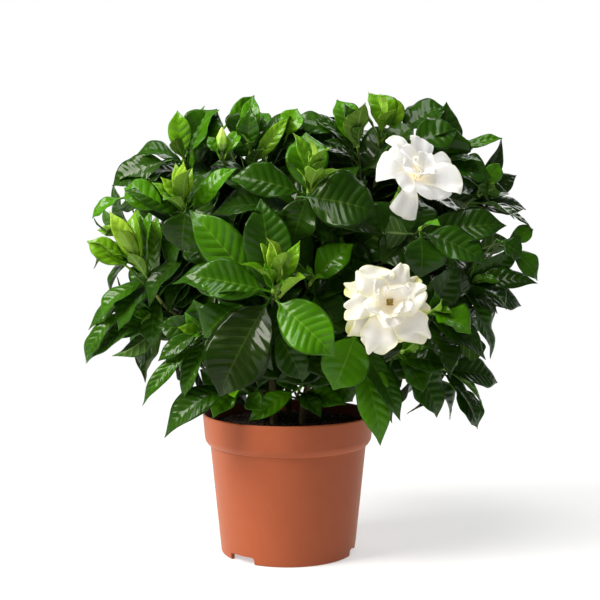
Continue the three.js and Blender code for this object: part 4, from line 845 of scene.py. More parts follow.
def studio_paper() -> Material:
    """White background paper, lit evenly behind the plant.

    Returns:
        The material.
    """
    # Plain near the pot, so that it takes the shadow, and as bright as the lamp behind it further back
    shader = Shader("studio_paper")
    tree = shader.tree
    spot = add_node(tree, "ShaderNodeSeparateXYZ", {"Vector": shader.place})
    aside = shader.maths.run("ABSOLUTE", spot.outputs["X"])
    behind, inside = (
        add_node(tree, "ShaderNodeMapRange", {0: value, 1: near, 2: far, 3: first, 4: last}).outputs[0]
        for value, near, far, first, last in ((spot.outputs["Y"], 0.1, 0.8, 0.5, 1.0), (aside, 0.66, 0.8, 1.0, 0.0))
    )
    share = shader.maths.times(behind, inside)
    white = shader.ramp(shader.noise(2.5, 4, 0.6), [(0.3, "F1F0EE"), (0.7, "F8F8F7")])
    paper = add_node(tree, "ShaderNodeBsdfDiffuse", {"Color": white})
    glow = add_node(tree, "ShaderNodeEmission", {"Color": linear("FFFFFF"), "Strength": 1.0})
    both = add_node(tree, "ShaderNodeMixShader", {0: share, 1: paper.outputs[0], 2: glow.outputs[0]})
    add_node(tree, "ShaderNodeOutputMaterial", {"Surface": both.outputs[0]})
    return shader.material


@dataclass(frozen=True)
class Finishes:
    """The plant's and the pot's materials, each made once."""

    leaf_upper: Material = field(default_factory=leaf_upper_side)
    leaf_under: Material = field(default_factory=leaf_underside)
    green_bark: Material = field(default_factory=green_bark)
    bark: Material = field(default_factory=woody_bark)
    petal: Material = field(default_factory=petal_flesh)
    bud: Material = field(default_factory=bud_skin)
    pot: Material = field(default_factory=terracotta_plastic)
    # Dull golden grains in the throat, the only warm spot of the white flower
    gold: Material = field(default_factory=lambda: plain(
        "gardenia_pollen", (1.5, 3), [(0.3, "7C661A"), (0.6, "BC9E38"), (0.85, "E2CC6C")], 0.75,
        lambda shader: shader.cells(0.5), (0.3, 0.9)
    ))
    # Fresh, slightly waxy green, paler along the ribs
    calyx: Material = field(default_factory=lambda: plain(
        "gardenia_calyx", (4, 3), [(0.25, "4F7F22"), (0.7, "7FAA3C")], 0.4, lambda shader: shader.noise(1.2), (0.12,)
    ))
    # Nearly black where damp, brown and crumbly where the surface has dried
    soil: Material = field(default_factory=lambda: plain(
        "peat_potting_soil", (3, 5, 0.65), [(0.3, "17100A"), (0.55, "33241A"), (0.8, "57402C")], 0.95,
        lambda shader: shader.cells(1.6), (0.6, 0.8)
    ))
    # Chalky white, pitted grains that catch the light among the dark crumbs
    perlite: Material = field(default_factory=lambda: plain(
        "perlite", (1.2, 3), [(0.3, "BDB6A8"), (0.7, "E9E5DB")], 0.9, lambda shader: shader.cells(0.6), (0.3,)
    ))


class Slot(Enum):
    """The record's material slots."""

    POT = "pot_plastic"
    SOIL = "soil"
    BARK = "bark"
    LEAF = "leaf"
    YOUNG_LEAF = "young_leaf"
    PETAL = "petal"
    HEART = "flower_heart"
    BUD = "bud"


# Skins: points and faces gathered into one piece


def placed(name: str, data: bpy.types.ID) -> Piece:
    """Puts a new object in the scene.

    Args:
        name: Its name.
        data: Its mesh, lamp or camera.

    Returns:
        The object, at the origin.
    """
    made = bpy.data.objects.new(name, data)
    bpy.context.scene.collection.objects.link(made)
    return made


# Numbers in each point's value. Tone: 0 dark, 1 light. Across: place across a blade, from -1 to 1.
# Veins: count of veins from the root, or the place along a petal. Lift: where relief is raised to.
POINT_VALUES = {"tone": 1, "across": 1, "veins": 1, "lift": 3}


@dataclass
class Skin:
    """Points, four-cornered faces and point values of one piece, gathered part by part, in mm."""

    points: list[Array] = field(default_factory=list)
    quads: list[Array] = field(default_factory=list)
    finishes: list[Array] = field(default_factory=list)
    values: dict[str, list[Array]] = field(default_factory=lambda: {key: [] for key in POINT_VALUES})
    count: int = 0

    def add(self, shape: Shape, finish: int | Array = 0, **values: float | Array) -> None:
        """Adds a part.

        Args:
            shape: One row per point, and one row of four point numbers per face, outward side first.
            finish: Material number, for all faces or for each.
            values: Any of POINT_VALUES, for all points or for each.
        """
        points, quads = shape
        self.points.append(points)
        self.quads.append(quads + self.count)
        self.finishes.append(np.broadcast_to(finish, len(quads)).astype(np.int32))
        for key, width in POINT_VALUES.items():
            size = (len(points), width)[: 1 if width == 1 else 2]
            self.values[key].append(np.broadcast_to(values.get(key, 0.0), size).astype(np.float32))
        self.count += len(points)

    def to_object(self, name: str, materials: Sequence[Material]) -> Piece:
        """Makes the piece.

        Args:
            name: The piece's name.
            materials: Its materials, in the order of their numbers.

        Returns:
            The object, at the origin, in metres.
        """
        mesh = bpy.data.meshes.new(name)
        mesh.from_pydata(np.concatenate(self.points) * MM, [], np.concatenate(self.quads), shade_flat=False)
        mesh.polygons.foreach_set("material_index", np.concatenate(self.finishes))
        for material in materials:
            mesh.materials.append(material)
        for key, width in POINT_VALUES.items():
            kind, word = ("FLOAT", "value") if width == 1 else ("FLOAT_VECTOR", "vector")
            values = np.concatenate(self.values[key]).ravel()
            mesh.attributes.new(key, kind, "POINT").data.foreach_set(word, values)
        return placed(name, mesh)


def faces_of(grid: Array, joined: Sequence[int] = ()) -> Array:
    """The four-cornered faces of a grid of points.

    Args:
        grid: The points' numbers, in rows and columns.
        joined: Axes along which the last point meets the first.

    Returns:
        One row of four point numbers per face.
    """
    for axis in joined:
        grid = np.concatenate([grid, grid.take([0], axis)], axis)
    return np.stack([grid[:-1, :-1], grid[:-1, 1:], grid[1:, 1:], grid[1:, :-1]], -1).reshape(-1, 4)


def closed_blade(upper: Array, lower: Array) -> tuple[Shape, Array, Array]:
    """Closes two grids of points into one thin blade that shares its edge points.

    Args:
        upper: Rows, columns, xyz of the upper side.
        lower: The same for the lower side; its own edge points aren't used.

    Returns:
        The points and faces, which faces are on the lower side, and the grid place of each point.
    """
    rows, columns = upper.shape[:2]
    top = np.arange(rows * columns).reshape(rows, columns)
    under = top.copy()
    inner = np.arange((rows - 2) * (columns - 2)).reshape(rows - 2, columns - 2)
    under[1:-1, 1:-1] = rows * columns + inner
    points = np.concatenate([upper.reshape(-1, 3), lower[1:-1, 1:-1].reshape(-1, 3)])
    source = np.concatenate([top.ravel(), top[1:-1, 1:-1].ravel()])
    above, below = faces_of(top), faces_of(under)[:, [0, 3, 2, 1]]
    return (points, np.concatenate([above, below])), np.repeat([0, 1], [len(above), len(below)]), source


def tube_skin(
    path: Array, radii: Array, sides: int, lobes: int = 0, depth: float = 0.0, twist: float = 0.0
) -> Shape:
    """A closed tube along a path, pointed or nearly so at both ends.

    Args:
        path: One row per point of the path.
        radii: The radius at each.
        sides: Points round the tube.
        lobes: Ribs round the tube.
        depth: How far the ribs stand out, as a share of the radius.
        twist: Turns of the ribs over the whole length.

    Returns:
        The points and the faces.
    """
    path = np.concatenate([path[:1], path, path[-1:]])
    radii = np.concatenate([[radii[0] * 0.02], radii, [radii[-1] * 0.02]])
    count = len(path)
    headings = np.gradient(path[1:-1], axis=0)
    headings = np.concatenate([headings[:1], headings, headings[-1:]])
    headings /= np.linalg.norm(headings, axis=1)[:, None]
    aside = np.cross(headings[0], vector(1, 0, 0) if abs(headings[0][0]) < 0.8 else vector(0, 1, 0))
    rings = []
    angles = np.arange(sides) * math.tau / sides
    for k in range(count):
        aside = unit(aside - headings[k] * (aside @ headings[k]))
        other = np.cross(headings[k], aside)
        reach = radii[k] * (1 + depth * np.cos(lobes * angles - twist * math.tau * k / count))
        rings.append(path[k] + np.outer(np.cos(angles) * reach, aside) + np.outer(np.sin(angles) * reach, other))
    return np.concatenate(rings), faces_of(np.arange(count * sides).reshape(count, sides), [1])


def turned_skin(profile: Sequence[Spot], sides: int) -> Shape:
    """A closed profile of radii and heights, turned about +Z, outward side first.

    Args:
        profile: Radius and height of each corner, run anticlockwise and closed.
        sides: Points round the axis.

    Returns:
        The points and the faces.
    """
    outline = np.array(profile, float)
    angles = np.arange(sides) * math.tau / sides
    reach, height = outline[:, :1], np.repeat(outline[:, 1:], sides, 1)
    rings = np.stack([reach * np.cos(angles), reach * np.sin(angles), height], -1)
    return rings.reshape(-1, 3), faces_of(np.arange(height.size).reshape(height.shape), [0, 1])


def rounded(corners: Sequence[tuple[float, float, float]], steps: int = 5) -> list[Spot]:
    """Rounds the corners of a closed profile and holds the flats beside them flat.

    Args:
        corners: Radius, height and rounding of each corner.
        steps: Points in each rounding.

    Returns:
        The finer profile.
    """
    points = np.array([corner[:2] for corner in corners], float)
    out: list[Spot] = []
    for k, (_, _, rounding) in enumerate(corners):
        here, before, after = points[k], points[k - 1], points[(k + 1) % len(points)]
        start, end = here + unit(before - here) * rounding, here + unit(after - here) * rounding
        for share in np.linspace(0, 1, steps if rounding else 1):
            out.append(tuple(start * (1 - share) ** 2 + here * 2 * share * (1 - share) + end * share**2))
    held: list[Spot] = []
    for k, point in enumerate(out):
        held.append(point)
        after = np.array(out[(k + 1) % len(out)])
        if np.linalg.norm(after - point) > 2.0:
            inset = unit(after - point) * 0.35
            held += [tuple(point + inset), tuple(after - inset)]
    return held


# Geometry Nodes


class NodeGroup:
    """A Geometry Nodes group with named inputs, baked into the piece it is used on."""

    def __init__(self, name: str, inputs: dict[str, str]) -> None:
        """Begins a group that takes and gives a geometry.

        Args:
            name: Its name.
            inputs: Its other inputs, and the kind of socket of each.
        """
        self.tree = bpy.data.node_groups.new(name, "GeometryNodeTree")
        self.maths = Maths(self.tree)
        face = self.tree.interface
        face.new_socket("Geometry", in_out="INPUT", socket_type="NodeSocketGeometry")
        for key, kind in inputs.items():
            face.new_socket(key, in_out="INPUT", socket_type=f"NodeSocket{kind}")
        face.new_socket("Geometry", in_out="OUTPUT", socket_type="NodeSocketGeometry")
        self.entry = self.tree.nodes.new("NodeGroupInput")
        self.exit = self.tree.nodes.new("NodeGroupOutput")

    def given(self, name: str) -> Socket:
        """An input of the group."""
        return self.entry.outputs[name]

    def named(self, name: str, kind: str = "FLOAT") -> Socket:
        """A value stored at the points."""
        return add_node(self.tree, "GeometryNodeInputNamedAttribute", {"Name": name}, data_type=kind).outputs[0]

    def close(self, geometry: Socket) -> None:
        """Links the result to the group's output."""
        self.tree.links.new(geometry, self.exit.inputs["Geometry"])

    def bake(self, piece: Piece, values: dict) -> None:
        """Runs the group on a piece and keeps the result as its mesh.

        Args:
            piece: The piece.
            values: The group's inputs by name.
        """
        modifier = piece.modifiers.new(self.tree.name, "NODES")
        modifier.node_group = self.tree
        for item in self.tree.interface.items_tree:
            if item.in_out == "INPUT" and item.name in values:
                modifier[item.identifier] = values[item.name]
        keep_shape(piece)


def keep_shape(piece: Piece) -> None:
    """Replaces a piece's mesh by its evaluated shape and removes its modifiers.

    Args:
        piece: The piece.
    """
    graph = bpy.context.evaluated_depsgraph_get()
    old, solid = piece.data, piece.evaluated_get(graph)
    piece.data = bpy.data.meshes.new_from_object(solid, preserve_all_data_layers=True, depsgraph=graph)
    piece.modifiers.clear()
    bpy.data.meshes.remove(old)


def vein_relief() -> NodeGroup:
    """Quilts the skin between the side veins and sinks the midrib.

    Returns:
        The group.
    """
    group = NodeGroup("vein_relief", {"Depth": "Float", "Midrib": "Float"})
    maths = group.maths
    across = maths.run("ABSOLUTE", group.named("across"))
    wave = maths.run("COSINE", maths.times(group.named("veins"), math.tau))
    quilt = maths.scaled(wave, -0.5, 0.5)
    inner = maths.times(across, 4.0, clamp=True)
    outer = maths.times(maths.run("SUBTRACT", 1.0, across), 3.0, clamp=True)
    raised = maths.times(maths.times(quilt, inner), maths.times(outer, group.given("Depth")))
    groove = maths.rest(maths.times(across, 5.0))
    sunk = maths.times(groove, group.given("Midrib"))
    height = maths.run("SUBTRACT", raised, sunk)
    inputs = {0: group.named("lift", "FLOAT_VECTOR"), "Scale": height}
    offset = add_node(group.tree, "ShaderNodeVectorMath", inputs, operation="SCALE").outputs[0]
    moved = add_node(group.tree, "GeometryNodeSetPosition", {"Geometry": group.given("Geometry"), "Offset": offset})
    group.close(moved.outputs[0])
    return group


def scattered_grains() -> NodeGroup:
    """Strews rough grains over the upward faces of a surface.

    Returns:
        The group.
    """
    group = NodeGroup("scattered_grains", {
        "Per Square Metre": "Float", "Smallest": "Float", "Largest": "Float", "Seed": "Int", "Lowest": "Float",
        "Grain Material": "Material"
    })
    tree, maths = group.tree, group.maths
    surface = group.given("Geometry")
    facing = add_node(tree, "ShaderNodeSeparateXYZ", {0: tree.nodes.new("GeometryNodeInputNormal").outputs[0]})
    place = add_node(tree, "ShaderNodeSeparateXYZ", {0: tree.nodes.new("GeometryNodeInputPosition").outputs[0]})
    upward = maths.run("GREATER_THAN", facing.outputs["Z"], 0.6)
    raised = maths.run("GREATER_THAN", place.outputs["Z"], group.given("Lowest"))
    points = add_node(tree, "GeometryNodeDistributePointsOnFaces", {
        "Mesh": surface, "Selection": maths.times(upward, raised), "Density": group.given("Per Square Metre"),
        "Seed": group.given("Seed")
    })
    grain = add_node(tree, "GeometryNodeMeshIcoSphere", {"Radius": 1.0, "Subdivisions": 1})
    turn, size = (
        add_node(
            tree, "FunctionNodeRandomValue", {0: low, 1: high, "Seed": group.given("Seed")}, data_type="FLOAT_VECTOR"
        ).outputs[0]
        for low, high in (((0.0,) * 3, (math.tau,) * 3), (group.given("Smallest"), group.given("Largest")))
    )
    strewn = add_node(tree, "GeometryNodeInstanceOnPoints", {
        "Points": points.outputs["Points"], "Instance": grain.outputs["Mesh"], "Rotation": turn, "Scale": size
    })
    real = add_node(tree, "GeometryNodeRealizeInstances", {0: strewn.outputs[0]})
    painted = add_node(tree, "GeometryNodeSetMaterial", {
        "Geometry": real.outputs[0], "Material": group.given("Grain Material")
    })
    joined = add_node(tree, "GeometryNodeJoinGeometry")
    tree.links.new(painted.outputs[0], joined.inputs[0])
    tree.links.new(surface, joined.inputs[0])
    group.close(joined.outputs[0])
    return group


# Leaves and shoots


@dataclass(frozen=True)
class Blade:
    """A leaf or petal: where it runs and how it is shaped, in mm."""

    root: Point
    tip: Point
    facing: Point
    width: float
    bow: float
    roll: float
    fold: float
    phase: float

    def length(self) -> float:
        """The straight distance from root to tip."""
        return float(np.linalg.norm(self.tip - self.root))

    def course(self, share: Array) -> tuple[Array, Array, Array]:
        """The bowed line of the midrib.

        Args:
            share: Shares of the length.

        Returns:
            The centres, the width's direction and the upward normals.
        """
        chord = self.tip - self.root
        along = unit(chord)
        upper = turn_about(unit(self.facing - along * (self.facing @ along)), along, self.roll)
        side = np.cross(along, upper)
        share = share[..., None]
        rise = self.bow * self.length() * 4 * share * (1 - share)
        centres = self.root + chord * share + upper * rise
        headings = along + upper * (self.bow * 4 * (1 - 2 * share))
        headings /= np.linalg.norm(headings, axis=-1, keepdims=True)
        normals = upper - headings * (headings @ upper)[..., None]
        normals /= np.linalg.norm(normals, axis=-1, keepdims=True)
        return centres, np.broadcast_to(side, centres.shape), normals


def leaf_outline(share: Array) -> Array:
    """Half width of a leaf as a share of its greatest."""
    body = np.sin(math.pi * share**1.08) ** 0.85
    return body * (1 - 0.42 * smooth_step(0.72, 1.0, share))


def petal_outline(share: Array) -> Array:
    """Half width of a petal as a share of its greatest."""
    return np.sin(math.pi * 0.93 * share**1.7 + 0.12) ** 0.6


def ripple(blade: Blade, across: Array, share: Array) -> Array:
    """The wave that runs along each edge of a blade."""
    return np.where(across < 0, np.sin(blade.phase + share * 11), np.sin(blade.phase * 1.7 + share * 9))


def at_points(value: Array, like: Array, source: Array) -> Array:
    """The values of a grid's places, at the blade's points."""
    return np.broadcast_to(value, like.shape).ravel()[source]


@dataclass(frozen=True)
class LeafSkin:
    """How fine a leaf is and how thick it looks, in mm."""

    columns: int = 9
    rows_per_vein: int = 4
    vein_spacing: float = 5.2
    sweep: float = 0.14
    petiole: float = 4.5
    petiole_half: float = 0.8
    thickness: float = 0.5
    wave: float = 0.2
    tip_bend: float = 0.035
    broaden: float = 1.14

    def add_to(self, skin: Skin, blade: Blade, tone: float) -> None:
        """Adds one leaf whose rows of points run along its side veins.

        Args:
            skin: The piece the leaf joins.
            blade: The leaf.
            tone: 0 for an old dark leaf, 1 for the youngest; some tones carry painted light for the side the leaf is
                on.
        """
        length = blade.length()
        veins = int(np.clip(round(length / self.vein_spacing), 5, 12))
        along = np.linspace(0, 1, veins * self.rows_per_vein + 1)[:, None]
        across = np.sin(np.linspace(-1, 1, self.columns) * math.pi / 2 * 0.85) / math.sin(math.pi / 2 * 0.85)
        across = across[None, :]
        share = along + self.sweep * np.abs(across) * 4 * along * (1 - along)
        foot = self.petiole / length
        blade_share = np.clip((share - foot) / (1 - foot), 0, 1)
        spread = leaf_outline(blade_share) * smooth_step(0, 0.16, blade_share)
        half = np.maximum(self.petiole_half * (1 - 0.75 * share), self.broaden * blade.width / 2 * spread)
        centres, side, normals = blade.course(share)
        reach = np.abs(across)
        height = half * (blade.fold * reach**1.15 + self.wave * ripple(blade, across, share) * reach**2)
        height += 0.03 * half * np.sin(blade.phase * 3 + share * 31 + across) * reach**3
        height -= self.tip_bend * length * smooth_step(0.72, 1.0, share) ** 2
        surface = centres + side * (across * half)[..., None] + normals * height[..., None]
        petiole = 1 - smooth_step(foot * 0.7, foot * 2.2, share)
        lens = np.sqrt(np.clip(1 - reach**2, 0, 1))
        thick = lens * (self.thickness / 2 + petiole * 0.45)
        rib = np.exp(-((reach / 0.1) ** 2)) * 0.45 * (1 - share)
        upper = surface + normals * thick[..., None]
        lower = surface - normals * (thick + rib)[..., None]
        shape, is_lower, source = closed_blade(upper, lower)
        ramp = 1 - smooth_step(0.0, 0.12, blade_share)
        lift = normals * (spread * (1 - ramp) * min(1.0, length / 55))[..., None]
        shade = np.clip(tone + 0.25 * ramp * (1 - tone), 0, 1)
        skin.add(
            shape, is_lower, tone=at_points(shade, share, source), across=at_points(across, share, source),
            veins=at_points(along * veins, share, source), lift=lift.reshape(-1, 3)[source]
        )


@dataclass(frozen=True)
class Shoot:
    """A leafy shoot: its node, where it grows, and the places tried for each leaf."""

    name: str
    apex: Point
    facing: Point
    tries: tuple[tuple[Blade, ...], ...]
    twig_length: float
    index: int

    @property
    def young(self) -> bool:
        """Whether its leaves are young."""
        return self.name.startswith("young")

    def twig_base(self) -> Point:
        """Where the twig leaves its branch."""
        return self.apex - self.facing * self.twig_length


def front_shoot(row: FrontShoot, index: int) -> Shoot:
    """A shoot of the table, laid out as in the CAD part.

    Args:
        row: The table's row.
        index: Its number.

    Returns:
        The shoot.
    """
    apex = from_picture(row.apex, row.depth)
    facing = unit(vector(*row.facing))
    leaves = []
    for order, leaf in enumerate(row.leaves):
        lower = leaf.root if leaf.root is not None else FIRST_LEAF_DROP + order * LEAF_STEP_ON_TWIG
        phase = seeded_random(index * 100 + order)() * 6
        tips = (from_picture(leaf.tip, row.depth + leaf.lean + nudge) for nudge in TIP_NUDGES)
        form = facing, leaf.width, leaf.bow, leaf.roll, leaf.fold, phase
        leaves.append(tuple(Blade(apex - facing * lower, tip, *form) for tip in tips))
    twig_length = TWIG_SPARE_LENGTH + max(6, len(row.leaves) * LEAF_STEP_ON_TWIG)
    return Shoot(row.name, apex, facing, tuple(leaves), twig_length, index)


def ruled_leaf(
    apex: Point, facing: Point, sideways: Point, order: int, draw: Callable[[], float]
) -> tuple[Blade, ...]:
    """The places tried for one leaf of a ring's shoot.

    Args:
        apex: The shoot's apex.
        facing: Where it grows.
        sideways: A direction square to that.
        order: The leaf's number, counted from the apex.
        draw: The shoot's stream of random shares.

    Returns:
        The blades that stay inside the bush.
    """
    age = order / (RULE_LEAVES - 1)
    root = apex - facing * (FIRST_LEAF_DROP + order * LEAF_STEP_ON_TWIG)
    turn = order * GOLDEN_TURN + draw() * 24 - 12
    opened = mix(24, 98, math.sqrt(age)) + draw() * 14 - 7
    length = mix(30, 70, min(1, age * 1.7)) * (0.88 + draw() * 0.24)
    width = length * (0.36 + draw() * 0.1)
    droop = (2 + 10 * age) * draw()
    bow, phase, roll = 0.08 + draw() * 0.07, draw() * 6, draw() * 24 - 12
    blades = []
    for shorter, lean, swing in itertools.product((1, 0.85, 0.7), (0, -14, 14), (0, 18, -18, 36, -36)):
        heading = leaning(facing, turn_about(sideways, facing, turn + swing), opened + lean)
        tip = root + heading * length * shorter - UP * droop
        if egg_share(tip) < 1 and tip[2] > LOWEST_TIP:
            blades.append(Blade(root, tip, facing, width * shorter, bow, roll, LEAF_FOLD, phase))
    return tuple(blades)


def ring_shoot(ring: ShootRing, number: int, seed: int, index: int) -> Shoot:
    """A shoot of a ring, laid out by the same rule as in the CAD part.

    Args:
        ring: The ring.
        number: The shoot's number in it.
        seed: Seed of its random stream.
        index: Its number in the whole bush.

    Returns:
        The shoot.
    """
    draw = seeded_random(seed)
    azimuth = mix(ring.start, ring.end, number / (ring.count - 1)) + draw() * 12 - 6
    away = outward(azimuth, ring.elevation + draw() * 10 - 5)
    apex = away * BUSH_RADII * ring.reach + BUSH_CENTRE
    facing = unit(away + UP * ring.lift)
    sideways = square_to(facing)
    leaves = tuple(ruled_leaf(apex, facing, sideways, order, draw) for order in range(RULE_LEAVES))
    twig_length = TWIG_SPARE_LENGTH + RULE_LEAVES * LEAF_STEP_ON_TWIG
    return Shoot(f"shoot_{ring.name}_{number + 1}", apex, facing, leaves, twig_length, index)


def every_shoot() -> list[Shoot]:
    """All shoots, those of the tables first.

    Returns:
        The shoots.
    """
    shoots = [front_shoot(row, index) for index, row in enumerate(FRONT_SHOOTS)]
    for place, ring in enumerate(SHOOT_RINGS):
        for number in range(ring.count):
            shoots.append(ring_shoot(ring, number, RULE_SEED + place * 100 + number, len(shoots)))
    return shoots


def node_points(name: str) -> Array:
    """The points of a CAD node, one row each, in mm."""
    return np.array([vertex.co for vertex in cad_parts[name].data.vertices]) / MM


def straight(start: Point, end: Point, steps: int) -> Array:
    """Points along a straight line."""
    return start + (end - start) * np.linspace(0, 1, steps + 1)[:, None]


def walked(path: Array) -> Array:
    """How far along a path each of its points is."""
    return np.concatenate([[0], np.cumsum(np.linalg.norm(np.diff(path, axis=0), axis=1))])


def at_distance(path: Array, distance: Array | float) -> Array:
    """The points that far along a path."""
    return np.stack([np.interp(distance, walked(path), path[:, axis]) for axis in range(3)], -1)


def hides_a_bloom(tip: Point) -> bool:
    """Whether a leaf's tip would stand in front of a bloom."""
    spot = to_picture(tip)
    return any(math.dist(spot, row.centre) < BLOOM_PIXELS and tip[1] < row.depth + 12 for row in BLOOMS)


@dataclass
class Room:
    """The room that is taken by leaves, as points strewn over each of them."""

    taken: list[Array] = field(default_factory=list)
    near: float = 45.0

    def spots(self, blade: Blade) -> Array:
        """Points strewn over a blade.

        Args:
            blade: The blade.

        Returns:
            One row per point.
        """
        share = np.array([0.3, 0.5, 0.7, 0.88, 1.0])[:, None]
        across = np.array([-0.7, 0.0, 0.7])[None, :]
        centres, side, normals = blade.course(share + 0 * across)
        half = blade.width / 2 * leaf_outline(share) * across
        return (centres + side * half[..., None] + normals * (np.abs(half) * blade.fold)[..., None]).reshape(-1, 3)

    def take(self, blade: Blade) -> None:
        """Marks a blade's room as taken."""
        self.taken.append(self.spots(blade))

    def free(self, blade: Blade) -> float:
        """How far a blade stays from all others.

        Args:
            blade: The blade.

        Returns:
            The shortest distance between their points.
        """
        others = np.concatenate(self.taken)
        spots = self.spots(blade)
        near = others[np.abs(others - spots.mean(0)).max(1) < self.near]
        if not len(near):
            return self.near
        return float(np.sqrt(((near[None] - spots[:, None]) ** 2).sum(-1).min()))

    def take_freest(self, blades: list[Blade], least: float) -> list[Blade]:
        """Takes the room of the blade that has most of it.

        Args:
            blades: The blades.
            least: The distance from others that it must pass.

        Returns:
            That blade alone, or nothing if all are crowded.
        """
        room = [self.free(blade) for blade in blades]
        if max(room, default=0.0) <= least:
            return []
        best = blades[room.index(max(room))]
        self.take(best)
        return [best]


@dataclass
class LeafyShoots:
    """Every shoot with its twig, its tip bud and its leaves."""

    finishes: Finishes
    branches: dict[str, Array]
    leaf: LeafSkin = field(default_factory=LeafSkin)
    old_leaf: LeafSkin = LeafSkin(columns=7, rows_per_vein=3)
    room: Room = field(default_factory=Room)
    quilt_depth: float = 0.78
    midrib_depth: float = 0.3
    side_twig_radius: float = 0.6
    tip_leaf_gap: float = 1.2
    branch_leaf_gap: float = 2.6
    upper_reach: float = 0.93
    lower_reach: float = 0.78
    leafy_length: float = 46.0
    pair_step: float = 9.0
    seed: int = 77

    def build(self) -> None:
        """Makes one piece per shoot."""
        relief = vein_relief()
        shoots = every_shoot()
        chosen = {shoot.name: self.chosen_leaves(shoot) for shoot in shoots}
        blades = [blade for leaves in chosen.values() for _, blade in leaves]
        blades += [petal for row in BLOOMS for petal in Bloom(row, self.finishes).blades()]
        for blade in blades:
            self.room.take(blade)
        for shoot in shoots:
            skin = Skin()
            self.add_twig(skin, shoot)
            chance = random.Random(self.seed + shoot.index)
            for order, blade in chosen[shoot.name]:
                self.leaf.add_to(skin, blade, self.tone(shoot, order, chance))
            self.add_side_leaves(skin, shoot)
            self.add_tip_leaves(skin, shoot, chance)
            self.add_branch_leaves(skin, shoot, chance)
            materials = [self.finishes.leaf_upper, self.finishes.leaf_under, self.finishes.green_bark]
            piece = skin.to_object(f"leaves_of_{shoot.name}", materials)
            relief.bake(piece, {"Depth": self.quilt_depth * MM, "Midrib": self.midrib_depth * MM})
            declare(piece, shoot.name)

    def chosen_leaves(self, shoot: Shoot) -> list[tuple[int, Blade]]:
        """The leaves that the CAD node has, each at the place that was free.

        Args:
            shoot: The shoot.

        Returns:
            Number and blade of each.
        """
        corners = node_points(shoot.name)
        kept = []
        for order, blades in enumerate(shoot.tries):
            for blade in blades:
                if np.min(np.abs(corners - blade.tip).sum(axis=1)) < TIP_MATCH:
                    kept.append((order, blade))
                    break
        return kept

    def add_side_leaves(self, skin: Skin, shoot: Shoot) -> None:
        """Adds the leaves that fill the bush's outline, each with a side twig of its own.

        Args:
            skin: The piece.
            shoot: The shoot.
        """
        for number, row in enumerate(row for row in SIDE_LEAVES if row.shoot == shoot.name):
            root = from_picture(row.root, row.depth)
            blade = Blade(
                root, from_picture(row.tip, row.depth + row.lean), unit(shoot.facing + vector(0, -0.6, 0)), row.width,
                row.bow, row.roll, 0.2, shoot.index + number * 1.7
            )
            self.leaf.add_to(skin, blade, row.tone)
            self.room.take(blade)
            self.add_side_twig(skin, shoot.twig_base() + shoot.facing * 3, root, self.side_twig_radius, 0.8)

    def add_tip_leaves(self, skin: Skin, shoot: Shoot, chance: random.Random) -> None:
        """Adds the small young leaves that stand round the tip bud.

        Args:
            skin: The piece.
            shoot: The shoot.
            chance: Its random stream.
        """
        sideways = square_to(shoot.facing)
        for number in range(4 if shoot.young else 3):
            root = shoot.apex - shoot.facing * (0.8 + 1.6 * number)
            tries = []
            for _ in range(10):
                turn, opened = number * GOLDEN_TURN + chance.uniform(-30, 30), chance.uniform(8, 18) + 9 * number
                length = chance.uniform(32, 44) if shoot.young else chance.uniform(15, 26)
                heading = leaning(shoot.facing, turn_about(sideways, shoot.facing, turn), opened)
                width = length * (chance.uniform(0.24, 0.3) if shoot.young else chance.uniform(0.29, 0.37))
                tip = root + heading * length
                if egg_share(tip) < 0.98 and not hides_a_bloom(tip):
                    tries.append(Blade(root, tip, shoot.facing, width, 0.1, 0.0, 0.35, chance.uniform(0, 6)))
            for blade in self.room.take_freest(tries, self.tip_leaf_gap):
                tone = (0.82 if shoot.young else 0.58) - 0.06 * number + chance.uniform(-0.1, 0.08)
                self.old_leaf.add_to(skin, blade, tone)

    def add_branch_leaves(self, skin: Skin, shoot: Shoot, chance: random.Random) -> None:
        """Adds the old leaves in pairs along the branch that bears the shoot.

        Args:
            skin: The piece.
            shoot: The shoot.
            chance: Its random stream.
        """
        path = self.branches[shoot.name][::-1]
        for pair, distance in enumerate(np.arange(2.0, min(walked(path)[-1], self.leafy_length), self.pair_step)):
            place = at_distance(path, distance)
            facing = unit(place - at_distance(path, distance + 3) + shoot.facing * 0.2)
            sideways = square_to(facing)
            for half in range(3):
                tries = []
                for _ in range(14):
                    turn = pair * 60 + half * 120 + chance.uniform(-32, 32)
                    opened, length = chance.uniform(50, 96), chance.uniform(40, 66)
                    heading = leaning(facing, turn_about(sideways, facing, turn), opened)
                    tip = place + heading * length - UP * chance.uniform(2, 12)
                    limit = self.upper_reach if tip[2] > BUSH_CENTRE[2] - 30 else self.lower_reach
                    inside = egg_share(tip) < limit and tip[2] > LOWEST_TIP + 6
                    hidden = shoot.index >= len(FRONT_SHOOTS) or tip[1] > shoot.apex[1] + 5
                    if inside and hidden and not hides_a_bloom(tip):
                        width, bow = length * chance.uniform(0.36, 0.46), chance.uniform(0.06, 0.14)
                        tries.append(Blade(place, tip, facing, width, bow, 0.0, LEAF_FOLD, chance.uniform(0, 6)))
                for blade in self.room.take_freest(tries, self.branch_leaf_gap):
                    self.old_leaf.add_to(skin, blade, chance.uniform(0.04, 0.3))

